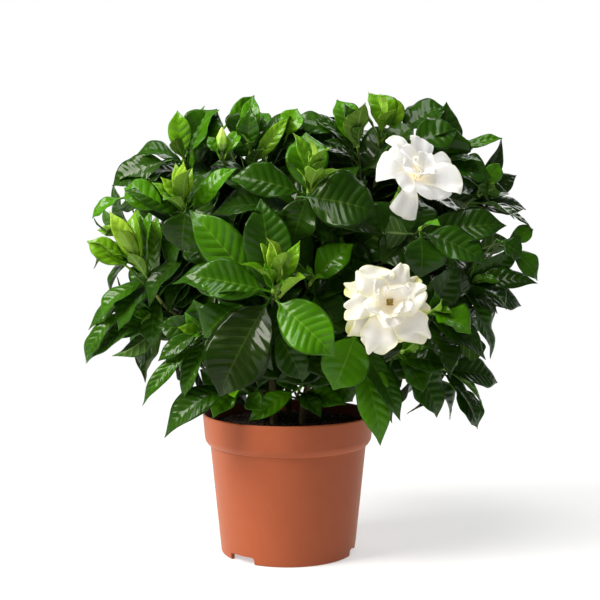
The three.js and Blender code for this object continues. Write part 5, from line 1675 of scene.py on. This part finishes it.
    def tone(self, shoot: Shoot, order: int, chance: random.Random) -> float:
        """How light a leaf is, by its age, and painted a little lighter on the left, where the key lamp falls, and
        darker on the right.

        Args:
            shoot: Its shoot.
            order: Its number, counted from the apex.
            chance: The shoot's random stream.

        Returns:
            0 for the darkest, old leaves, 1 for the lightest, young ones; the side a shoot is on adds painted light.
        """
        spread = chance.uniform(-0.09, 0.09)
        given = FRONT_SHOOTS[shoot.index].leaves[order].tone if shoot.index < len(FRONT_SHOOTS) else None
        if given is not None:
            return given
        if shoot.young:
            return 0.78 - 0.05 * order + spread
        # Painted light: leaves of shoots on the left, where the key lamp falls, are made lighter, and those on the
        # right darker
        painted_light_on_left = 0.05 * np.clip((20 - shoot.apex[0]) / 100, -1, 1)
        return 0.31 + painted_light_on_left - 0.02 * min(order, 7) + spread

    def add_twig(self, skin: Skin, shoot: Shoot) -> None:
        """Adds the twig, the sheath at its tip, and the bud's side twig where there is one.

        Args:
            skin: The piece.
            shoot: The shoot.
        """
        path = straight(shoot.twig_base(), shoot.apex, 14)
        share = np.linspace(0, 1, len(path))
        radii = TWIG_RADIUS * (0.7 - 0.2 * share) * (1 + 0.08 * np.sin(share * 40))
        skin.add(tube_skin(path, radii, 10), 2, tone=0.12)
        sheath = straight(shoot.apex - shoot.facing, shoot.apex + shoot.facing * 4.5, 5)
        skin.add(tube_skin(sheath, np.array([1.2, 1.35, 1.2, 0.85, 0.45, 0.1]), 8, 2, 0.15), 2, tone=0.9)
        if shoot.name == BUD_SHOOT:
            end = from_picture(BUD_FOOT, BUD_DEPTH) - UP * TOUCH_GAP
            self.add_side_twig(skin, shoot.apex - shoot.facing * BUD_TWIG_DROP, end, TWIG_RADIUS * 0.8)

    def add_side_twig(self, skin: Skin, start: Point, end: Point, radius: float, straight_share: float = 0.0) -> None:
        """Adds a twig that leaves its branch level and bends up to a bud or leaf.

        Args:
            skin: The piece.
            start: Where it begins.
            end: Where it ends.
            radius: Its radius.
            straight_share: 0 for a level start with a knee, 1 for a straight twig.
        """
        knee = mix(vector(end[0], end[1], min(start[2], end[2]) + 2), (start + end) / 2, straight_share)
        path = bezier((start, (start + knee) / 2, knee, end), 15)
        skin.add(tube_skin(path, np.full(16, radius), 8), 2, tone=0.25)


def declare(piece: Piece, node: str) -> None:
    """Hangs a piece under the root body, hides the CAD node it stands for, and logs its face count.

    Args:
        piece: The piece.
        node: The CAD node.
    """
    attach(piece, "root")
    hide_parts(node)
    log.info("%s: %d faces", piece.name, len(piece.data.polygons))


# Stems


def bezier(corners: Sequence[Point], count: int) -> Array:
    """Evenly spaced points along a cubic curve.

    Args:
        corners: Its four control points.
        count: How many intervals.

    Returns:
        One row per point.
    """
    share = np.linspace(0, 1, 201)[:, None]
    a, b, c, d = corners
    fine = a * (1 - share) ** 3 + b * 3 * share * (1 - share) ** 2 + c * 3 * share**2 * (1 - share) + d * share**3
    return at_distance(fine, np.linspace(0, walked(fine)[-1], count + 1))


@dataclass(frozen=True)
class StemEnd:
    """What a stem or branch bears, where it must end, and the direction it arrives in."""

    name: str
    end: Point
    facing: Point


@dataclass
class Stems:
    """The five main stems with a branch to every shoot and bloom of their sectors."""

    finishes: Finishes
    branches: dict[str, Array] = field(default_factory=dict)

    def build(self) -> None:
        """Makes one piece per main stem."""
        ends = [StemEnd(s.name, s.twig_base() - s.facing * TOUCH_GAP, s.facing) for s in every_shoot()]
        for row in BLOOMS:
            bloom = Bloom(row, self.finishes)
            ends.append(StemEnd(row.name, bloom.along(STALK_START - TOUCH_GAP), bloom.facing))
        for sector in range(STEM_COUNT):
            self.stem(sector, [end for end in ends if self.sector_of(end.end) == sector])

    def sector_of(self, point: Point) -> int:
        """The sector of the bush a point is in."""
        turn = math.atan2(point[0] - BUSH_CENTRE[0] * 0.3, -point[1]) / math.tau
        return int((turn % 1) * STEM_COUNT)

    def stem(self, sector: int, ends: list[StemEnd]) -> None:
        """Makes one main stem and its branches.

        Args:
            sector: The sector it serves.
            ends: Where its branches end.
        """
        foot = outward((sector + 0.5) * 360 / STEM_COUNT) * STEM_CIRCLE_RADIUS + UP * STEM_FOOT_HEIGHT
        top = max(ends, key=lambda end: end.end[2])
        low, bend = foot.copy(), foot.copy()
        low[2], bend[2] = STEM_BEND_HEIGHT - 1, STEM_BEND_HEIGHT + 30
        trunk = bezier([low, bend, top.end - top.facing * STEM_STRAIGHT_END, top.end], 60)
        skin = Skin()
        path = np.concatenate([straight(foot, low, 8)[:-1], trunk])
        self.add_wood(skin, path, STEM_FOOT_RADIUS, STEM_TOP_RADIUS, 12)
        self.branches[top.name] = trunk
        for end in ends:
            if end is top:
                continue
            sideways = math.hypot(end.end[0] - foot[0], end.end[1] - foot[1])
            height = float(np.clip(end.end[2] - sideways * FORK_SLOPE, LOWEST_FORK, HIGHEST_FORK))
            above = trunk[trunk[:, 2] >= height]
            start = above[0] if len(above) else trunk[-1]
            reach = float(np.linalg.norm(end.end - start)) * BRANCH_BOW
            branch = bezier([start, start + UP * reach, end.end - end.facing * reach, end.end], 24)
            self.add_wood(skin, branch, BRANCH_RADIUS * 1.1, BRANCH_RADIUS, 10)
            self.branches[end.name] = branch
        declare(skin.to_object(f"wood_of_stem_{sector + 1}", [self.finishes.bark]), f"stem_{sector + 1}")

    def add_wood(self, skin: Skin, path: Array, start: float, end: float, sides: int) -> None:
        """Adds a tapering stem with the swollen rings where leaves once stood.

        Args:
            skin: The piece.
            path: Its path.
            start: Radius at the foot.
            end: Radius at the tip.
            sides: Points round it.
        """
        rings = np.exp(-((walked(path) % LEAF_SCAR_STEP - LEAF_SCAR_STEP / 2) ** 2) / 2.0)
        radii = np.linspace(start, end, len(path)) * (0.97 + 0.14 * rings)
        shape = tube_skin(path, radii, sides, 3, 0.04, 2.0)
        skin.add(shape, tone=np.clip((shape[0][:, 2] - 80) / 150, 0, 1))


# Blooms and bud


@dataclass(frozen=True)
class PetalSkin:
    """How fine a petal is and how its edge behaves, in mm."""

    columns: int = 19
    rows: int = 24
    thickness: float = 0.6
    wave: float = 0.12
    broaden: float = 1.22

    def add_to(self, skin: Skin, blade: Blade, ring: int, pointed: float, aging: float) -> None:
        """Adds one petal with a rolled, gently ruffled edge.

        Args:
            skin: The piece.
            blade: The petal.
            ring: 0 for the outermost ring.
            pointed: -1 for a square end, 0 for a round one, 1 for a pointed one.
            aging: 0 for pure white, 1 for cream with stained edges.
        """
        along = (1 - (1 - np.linspace(0, 1, self.rows)) ** 1.5)[:, None]
        across = np.sin(np.linspace(-1, 1, self.columns) * math.pi / 2)[None, :]
        reach = np.abs(across)
        share = np.broadcast_to(along, (self.rows, self.columns))
        blunt = np.sqrt(np.clip(1 - (np.clip(share - 0.72, 0, 1) / 0.285) ** 2.4, 0, 1))
        sharp = np.clip(1 - (np.clip(share - 0.6, 0, 1) / 0.405) ** 1.35, 0, 1) ** 0.85
        square = np.sqrt(np.clip(1 - (np.clip(share - 0.78, 0, 1) / 0.222) ** 4, 0, 1))
        if pointed > 0:
            end = mix(square, sharp, pointed * (0.4 + 0.25 * math.sin(blade.phase)))
        else:
            end = mix(blunt, square, -pointed)
        outline = petal_outline(np.minimum(share, 0.82))
        if pointed < 0:
            outline = mix(outline, 0.24 + 0.8 * np.minimum(share, 0.9) ** 1.2, -pointed)
        half = self.broaden * blade.width / 2 * outline * np.maximum(end, 0.03)
        centres, side, normals = blade.course(share)
        roll = (0.2, 0.14, 0.16, 0.3)[ring] * (1 + 0.5 * np.sin(blade.phase * 5 + across * 1.5))
        calm = (1.0, 1.0, 0.6, 0.35)[ring]
        ruffle = self.wave * (1.0 + 0.7 * pointed) * calm
        height = half * (blade.fold * reach**1.4 + ruffle * ripple(blade, across, share) * reach**2)
        height -= roll * blade.width / 2 * smooth_step(0.55, 1.0, reach) * smooth_step(0.3, 0.8, share)
        height -= roll * blade.length() * 0.24 * smooth_step(0.72, 1.0, share)
        crimps = np.sin(blade.phase * 2 + share * 17 + across * 2)
        height += 0.09 * (1 + 0.8 * pointed) * calm * half * crimps * reach**2
        height += 0.05 * half * np.sin(blade.phase + across * 7) * share**2
        torn = max(pointed, 0)
        skew = torn * 0.3 * blade.width * math.sin(blade.phase * 7) * smooth_step(0.55, 1.0, share)
        jag = torn * 0.1 * blade.length() * smooth_step(0.6, 1.0, share) * np.cos(across * 4.4 + blade.phase)
        jag *= 1.25 * calm * np.clip(end * 1.3, 0, 1)
        surface = centres + side * (across * half + skew)[..., None] + normals * height[..., None]
        surface += unit(blade.tip - blade.root) * jag[..., None]
        thick = np.sqrt(np.clip(1 - reach**4, 0, 1)) * self.thickness / 2
        shape, _, source = closed_blade(surface + normals * thick[..., None], surface - normals * thick[..., None])
        skin.add(
            shape, tone=aging * (1.0, 0.6, 0.35, 0.4)[ring],
            across=at_points(across, share, source),
            veins=at_points(along, share, source) * (1.0, 0.9, 0.66, 0.5)[ring]
        )


@dataclass
class Bloom:
    """An open double bloom: petals, golden heart, corolla tube, calyx and stalk."""

    row: BloomRow
    finishes: Finishes
    petal: PetalSkin = field(default_factory=PetalSkin)

    @property
    def facing(self) -> Point:
        """Where the bloom looks."""
        return unit(vector(*self.row.facing))

    def along(self, distance: float) -> Point:
        """A point on the bloom's axis."""
        return from_picture(self.row.centre, self.row.depth) + self.facing * distance

    def spoke(self, number: int, count: int) -> Point:
        """One of the directions round the bloom's axis."""
        return turn_about(unit(np.cross(self.facing, UP)), self.facing, number * 360 / count)

    def build(self) -> None:
        """Makes the bloom's three pieces."""
        self.flower()
        self.heart()
        self.calyx()

    def blades(self) -> list[Blade]:
        """Where each petal runs; the inner ones bend outwards and leave the throat open.

        Returns:
            The petals' blades.
        """
        blades = []
        for petal in self.row.petals:
            root = self.along(petal.ring * PETAL_RING_STEP + PETAL_FOOT)
            tip = from_picture(petal.tip, self.row.depth + petal.lean)
            bow = petal.bow - self.row.opened * (0, 0, 0.15, 0.36)[petal.ring]
            fold = 0.16 + (1 - self.row.opened) * (0, 0.1, 0.4, 0.5)[petal.ring]
            blades.append(Blade(root, tip, self.facing, petal.width, bow, 0.0, fold, sum(petal.tip)))
        return blades

    def flower(self) -> None:
        """Makes the petals and the corolla tube."""
        skin = Skin()
        for petal, blade in zip(self.row.petals, self.blades()):
            self.petal.add_to(skin, blade, petal.ring, self.row.pointed, self.row.aging)
        path = straight(self.along(PETAL_FOOT - COROLLA_LENGTH), self.along(PETAL_FOOT + 2), 12)
        radii = np.linspace(CALYX_RADIUS - 0.6, COROLLA_RADIUS, 13)
        skin.add(tube_skin(path, radii, 24, 6, 0.05), tone=0.3, veins=0.35)
        declare(skin.to_object(f"petals_of_{self.row.name}", [self.finishes.petal]), self.row.name)

    def heart(self) -> None:
        """Makes the stigma with the anthers round it."""
        skin = Skin()
        path = straight(self.along(-2), self.along(HEART_LENGTH), 8)
        wide = 1 + 0.15 * self.row.opened
        skin.add(tube_skin(path, np.array([0.8, 0.8, 0.8, 0.9, 1.2, 1.5, 1.6, 1.3, 0.5]) * wide, 16, 4, 0.12, 0.5))
        for number in range(8):
            spoke = self.spoke(number, 8) * (1.0 if number % 2 else 0.68)
            start = self.along(-1.5) + spoke * 1.2
            end = self.along(HEART_LENGTH - 0.6) + spoke * 2.2 * wide
            skin.add(tube_skin(straight(start, end, 6), np.array([0.25, 0.45, 0.6, 0.6, 0.55, 0.4, 0.12]), 8))
        piece = skin.to_object(f"heart_of_{self.row.name}", [self.finishes.gold])
        declare(piece, f"{self.row.name}_heart")

    def calyx(self) -> None:
        """Makes the ribbed calyx, its long sepals and the stalk."""
        skin = Skin()
        path = straight(self.along(CALYX_START - CALYX_LENGTH), self.along(CALYX_START), 10)
        skin.add(tube_skin(path, np.linspace(1.8, CALYX_RADIUS, 11), 30, 6, 0.1))
        share = np.linspace(0, 1, 8)
        for number in range(6):
            spoke = self.spoke(number, 6)
            path = [self.along(CALYX_START - 2 + 11 * s) + spoke * (3.2 + 2.2 * s + 1.5 * s * s) for s in share]
            skin.add(tube_skin(np.array(path), 0.85 * (1 - share) ** 0.7 + 0.05, 6))
        stalk = straight(self.along(STALK_START), self.along(CALYX_START - CALYX_LENGTH + 1), 6)
        skin.add(tube_skin(stalk, np.linspace(TWIG_RADIUS, 1.5, 7), 12), 1, tone=0.6)
        piece = skin.to_object(f"calyx_of_{self.row.name}", [self.finishes.calyx, self.finishes.green_bark])
        declare(piece, f"{self.row.name}_calyx")


@dataclass
class FlowerBud:
    """The closed bud, its petals furled in a twist."""

    finishes: Finishes
    furls: int = 5
    turns: float = 0.4

    def build(self) -> None:
        """Makes the bud."""
        base, tip = from_picture(BUD_FOOT, BUD_DEPTH), from_picture(BUD_TIP, BUD_DEPTH)
        path = straight(base, tip, 24)
        share = np.linspace(0, 1, 25)
        swell = np.interp(share, [0, 0.08, 0.28, 0.55, 0.82, 0.95, 1.0], [0.35, 0.62, 0.98, 0.86, 0.42, 0.2, 0.04])
        shape = tube_skin(path, BUD_RADIUS * swell, 30, self.furls, 0.09, self.turns)
        skin = Skin()
        skin.add(shape, veins=np.clip((shape[0] - base) @ unit(tip - base) / np.linalg.norm(tip - base), 0, 1))
        declare(skin.to_object("furled_flower_bud", [self.finishes.bud]), "flower_bud")


# Pot and soil


@dataclass
class Pot:
    """The moulded nursery pot: rim band, rolled lip, foot ring, notches and drain holes."""

    finishes: Finishes
    sides: int = 120

    def build(self) -> None:
        """Makes the pot."""
        inner_foot = BODY_BASE_RADIUS - FOOT_RING_WIDTH
        inner_band = RIM_RADIUS - POT_WALL
        profile = rounded([
            (0.4, 0.0, 0.0), (CENTRE_PAD_RADIUS, 0.0, 0.6), (CENTRE_PAD_RADIUS, FLOOR_UNDERSIDE, 0.6),
            (inner_foot, FLOOR_UNDERSIDE, 0.8), (inner_foot, 0.0, 0.6), (BODY_BASE_RADIUS - 0.1, 0.0, 1.3),
            (BODY_TOP_RADIUS, RIM_BAND_BOTTOM, 0.7), (BODY_TOP_RADIUS + 1.7, RIM_BAND_BOTTOM + 0.5, 0.7),
            (RIM_RADIUS - 1.6, RIM_BAND_BOTTOM + 3.4, 1.6), (RIM_RADIUS, POT_HEIGHT, 1.1),
            (inner_band, POT_HEIGHT, 0.7), (inner_band - 1.2, RIM_BAND_BOTTOM + 4.6, 1.2),
            (BODY_TOP_RADIUS - POT_WALL, RIM_BAND_BOTTOM + 0.6, 1.0),
            (BODY_BASE_RADIUS - POT_WALL + 0.7, FLOOR_TOP, 1.5), (0.4, FLOOR_TOP, 0.0)
        ])
        skin = Skin()
        skin.add(turned_skin(profile, self.sides))
        piece = skin.to_object("nursery_pot", [self.finishes.pot])
        cutters = [self.notch_cutter(azimuth) for azimuth in NOTCH_AZIMUTHS]
        cutters += [self.hole_cutter(number) for number in range(DRAIN_HOLE_COUNT)]
        for cutter in cutters:
            modifier = piece.modifiers.new("cut", "BOOLEAN")
            modifier.operation = "DIFFERENCE"
            modifier.solver = "EXACT"
            modifier.object = cutter
        keep_shape(piece)
        for cutter in cutters:
            bpy.data.meshes.remove(cutter.data)
        piece.data.set_sharp_from_angle(angle=math.radians(40))
        declare(piece, "pot")

    def notch_cutter(self, azimuth: float) -> Piece:
        """The block that leaves a foot notch.

        Args:
            azimuth: The notch's azimuth.

        Returns:
            The cutter.
        """
        half = BODY_BASE_RADIUS * math.sin(math.radians(NOTCH_SPAN / 2))
        away = outward(azimuth)
        middle, aside = away * BODY_BASE_RADIUS, np.cross(UP, away)
        top = NOTCH_HEIGHT
        right = [(half, -3.0), (half, top - 1.6), (half - 0.5, top - 0.5), (half - 1.6, top)]
        section = [(-half, -3.0)] + right + [(-x, z) for x, z in right[:0:-1]]
        rings = [
            [middle + away * depth + aside * x + UP * z for x, z in section]
            for depth in (-FOOT_RING_WIDTH * 2.2, FOOT_RING_WIDTH * 2.2)
        ]
        return self.prism(f"notch_{azimuth}", rings)

    def hole_cutter(self, number: int) -> Piece:
        """The cylinder that leaves a drain hole.

        Args:
            number: The hole's number.

        Returns:
            The cutter.
        """
        middle = outward(number * 360 / DRAIN_HOLE_COUNT) * DRAIN_HOLE_CIRCLE
        angles = np.arange(28) * math.tau / 28
        rings = [
            [middle + vector(math.cos(a), math.sin(a), 0) * DRAIN_HOLE_RADIUS + UP * z for a in angles]
            for z in (FLOOR_UNDERSIDE - 3, FLOOR_TOP + 3)
        ]
        return self.prism(f"hole_{number}", rings)

    def prism(self, name: str, rings: list[list[Point]]) -> Piece:
        """A closed block between two rings of points.

        Args:
            name: Its name.
            rings: Two rings with the same count.

        Returns:
            The block, hidden from the render.
        """
        count = len(rings[0])
        faces = [tuple(range(count - 1, -1, -1)), tuple(range(count, 2 * count))]
        faces += [(k, (k + 1) % count, count + (k + 1) % count, count + k) for k in range(count)]
        mesh = bpy.data.meshes.new(name)
        mesh.from_pydata([tuple(point * MM) for ring in rings for point in ring], [], faces)
        block = placed(name, mesh)
        block.hide_render = True
        return block


@dataclass
class PottingSoil:
    """The soil that fills the pot, with crumbs and perlite on its uneven surface: how many on a
    square metre, and their least and greatest radius in mm."""

    finishes: Finishes
    sides: int = 90
    crumbs: tuple[float, float, float] = (210000.0, 0.5, 1.7)
    perlite: tuple[float, float, float] = (600.0, 0.6, 1.5)

    def build(self) -> None:
        """Makes the soil."""
        wall = RIM_RADIUS - POT_WALL
        lower = BODY_TOP_RADIUS - POT_WALL
        floor = BODY_BASE_RADIUS - POT_WALL + 0.7
        profile = [(0.4, FLOOR_TOP + TOUCH_GAP), (floor - TOUCH_GAP, FLOOR_TOP + TOUCH_GAP)]
        profile += [(lower - 0.4, RIM_BAND_BOTTOM + 0.4), (wall - 1.6, RIM_BAND_BOTTOM + 4.8)]
        for share in np.linspace(1, 0.01, 26):
            profile.append((share * (wall - 1.2), mix(SOIL_CROWN_HEIGHT, SOIL_EDGE_HEIGHT, share**2)))
        points, quads = turned_skin(profile, self.sides)
        top = points[:, 2] > SOIL_EDGE_HEIGHT - 1
        x, y = points[:, 0], points[:, 1]
        bumps = np.sin(x * 0.31 + 1) * np.cos(y * 0.27) + 0.6 * np.sin(x * 0.83 + y * 0.71)
        bumps += 0.4 * np.sin(y * 1.3 - x * 0.6)
        points[:, 2] += np.where(top, bumps * 0.55 - 0.6, 0)
        skin = Skin()
        skin.add((points, quads))
        piece = skin.to_object("potting_soil", [self.finishes.soil])
        grains = scattered_grains()
        kinds = ((self.crumbs, 3, self.finishes.soil), (self.perlite, 8, self.finishes.perlite))
        for (count, smallest, largest), seed, material in kinds:
            values = {"Per Square Metre": count, "Smallest": smallest * MM, "Largest": largest * MM}
            values |= {"Lowest": (SOIL_EDGE_HEIGHT - 4) * MM, "Seed": seed, "Grain Material": material}
            grains.bake(piece, values)
        declare(piece, "soil")


# Studio


@dataclass(frozen=True)
class SoftBox:
    """A square studio lamp aimed at the plant."""

    name: str
    azimuth: float
    elevation: float
    distance: float
    size: float
    watts: float
    tint: str = "FFFFFF"

    def build(self, target: Vector) -> None:
        """Makes the lamp.

        Args:
            target: What it is aimed at.
        """
        lamp = bpy.data.lights.new(self.name, "AREA")
        lamp.shape, lamp.size, lamp.energy = "SQUARE", self.size, self.watts
        lamp.color = linear(self.tint)[:3]
        back = Vector(outward(self.azimuth, self.elevation))
        made = placed(self.name, lamp)
        made.location = target + back * self.distance
        made.rotation_euler = (-back).to_track_quat("-Z", "Y").to_euler()


@dataclass
class Studio:
    """White paper, soft lamps and the camera, in metres, and in mm for the lens."""

    lamps: tuple[SoftBox, ...] = (
        SoftBox("key_left", -64, 36, 1.5, 0.72, 38.0, "FFFBF4"), SoftBox("top_front", -18, 66, 1.4, 0.7, 15.0),
        SoftBox("rim_back_right", 150, 40, 1.5, 0.8, 9.0), SoftBox("fill_right", 60, 20, 1.8, 1.0, 0.4, "F6FAFF")
    )
    aim: tuple[float, float, float] = (0.0, 0.0, 0.17)
    room_tint: str = "F4F7FF"
    room_strength: float = 0.13
    lens: float = 73.0
    sensor: float = 36.0
    paper_half_width: float = 2.5
    bend_start: float = 0.8
    bend_radius: float = 0.7
    paper_height: float = 2.6

    def build(self) -> None:
        """Makes the paper, the lamps, the world and the camera."""
        self.paper()
        for lamp in self.lamps:
            lamp.build(Vector(self.aim))
        world = bpy.data.worlds.new("studio_room")
        world.use_nodes = True
        room = world.node_tree.nodes["Background"]
        room.inputs["Color"].default_value = linear(self.room_tint)
        room.inputs["Strength"].default_value = self.room_strength
        scene = bpy.context.scene
        scene.world = world
        scene.view_settings.view_transform = "Standard"
        camera = bpy.data.cameras.new("photo_camera")
        camera.lens, camera.sensor_width = self.lens, self.sensor
        camera.clip_start, camera.clip_end = 0.05, 20.0
        eye = placed("photo_camera", camera)
        eye.location = Vector(EYE) * MM
        eye.rotation_euler = (math.pi / 2 - EYE_PITCH, 0.0, 0.0)
        scene.camera = eye
        log.info("studio: %d lamps, camera at %s", len(self.lamps), tuple(round(c, 4) for c in eye.location))

    def paper(self) -> None:
        """Makes the sweep of white paper under and behind the plant."""
        half, start, bend = self.paper_half_width, self.bend_start, self.bend_radius
        line = [(-half, 0.0), (start, 0.0)]
        line += [(start + bend * math.sin(a), bend - bend * math.cos(a)) for a in np.linspace(0.1, math.pi / 2, 14)]
        line += [(start + bend, self.paper_height)]
        points = [(x, y, z) for y, z in line for x in (-half, half)]
        faces = [(2 * k, 2 * k + 1, 2 * k + 3, 2 * k + 2) for k in range(len(line) - 1)]
        mesh = bpy.data.meshes.new("studio_paper")
        mesh.from_pydata(points, [], faces, shade_flat=False)
        mesh.materials.append(studio_paper())
        placed("studio_paper", mesh)


def main() -> None:
    """Builds the pot, the soil, the plant and the studio, in that order."""
    logging.basicConfig(level=logging.INFO, format="%(name)s: %(message)s")
    finishes = Finishes()
    Pot(finishes).build()
    PottingSoil(finishes).build()
    stems = Stems(finishes)
    stems.build()
    LeafyShoots(finishes, stems.branches).build()
    for row in BLOOMS:
        Bloom(row, finishes).build()
    FlowerBud(finishes).build()
    Studio().build()


if __name__ == "__main__":
    main()
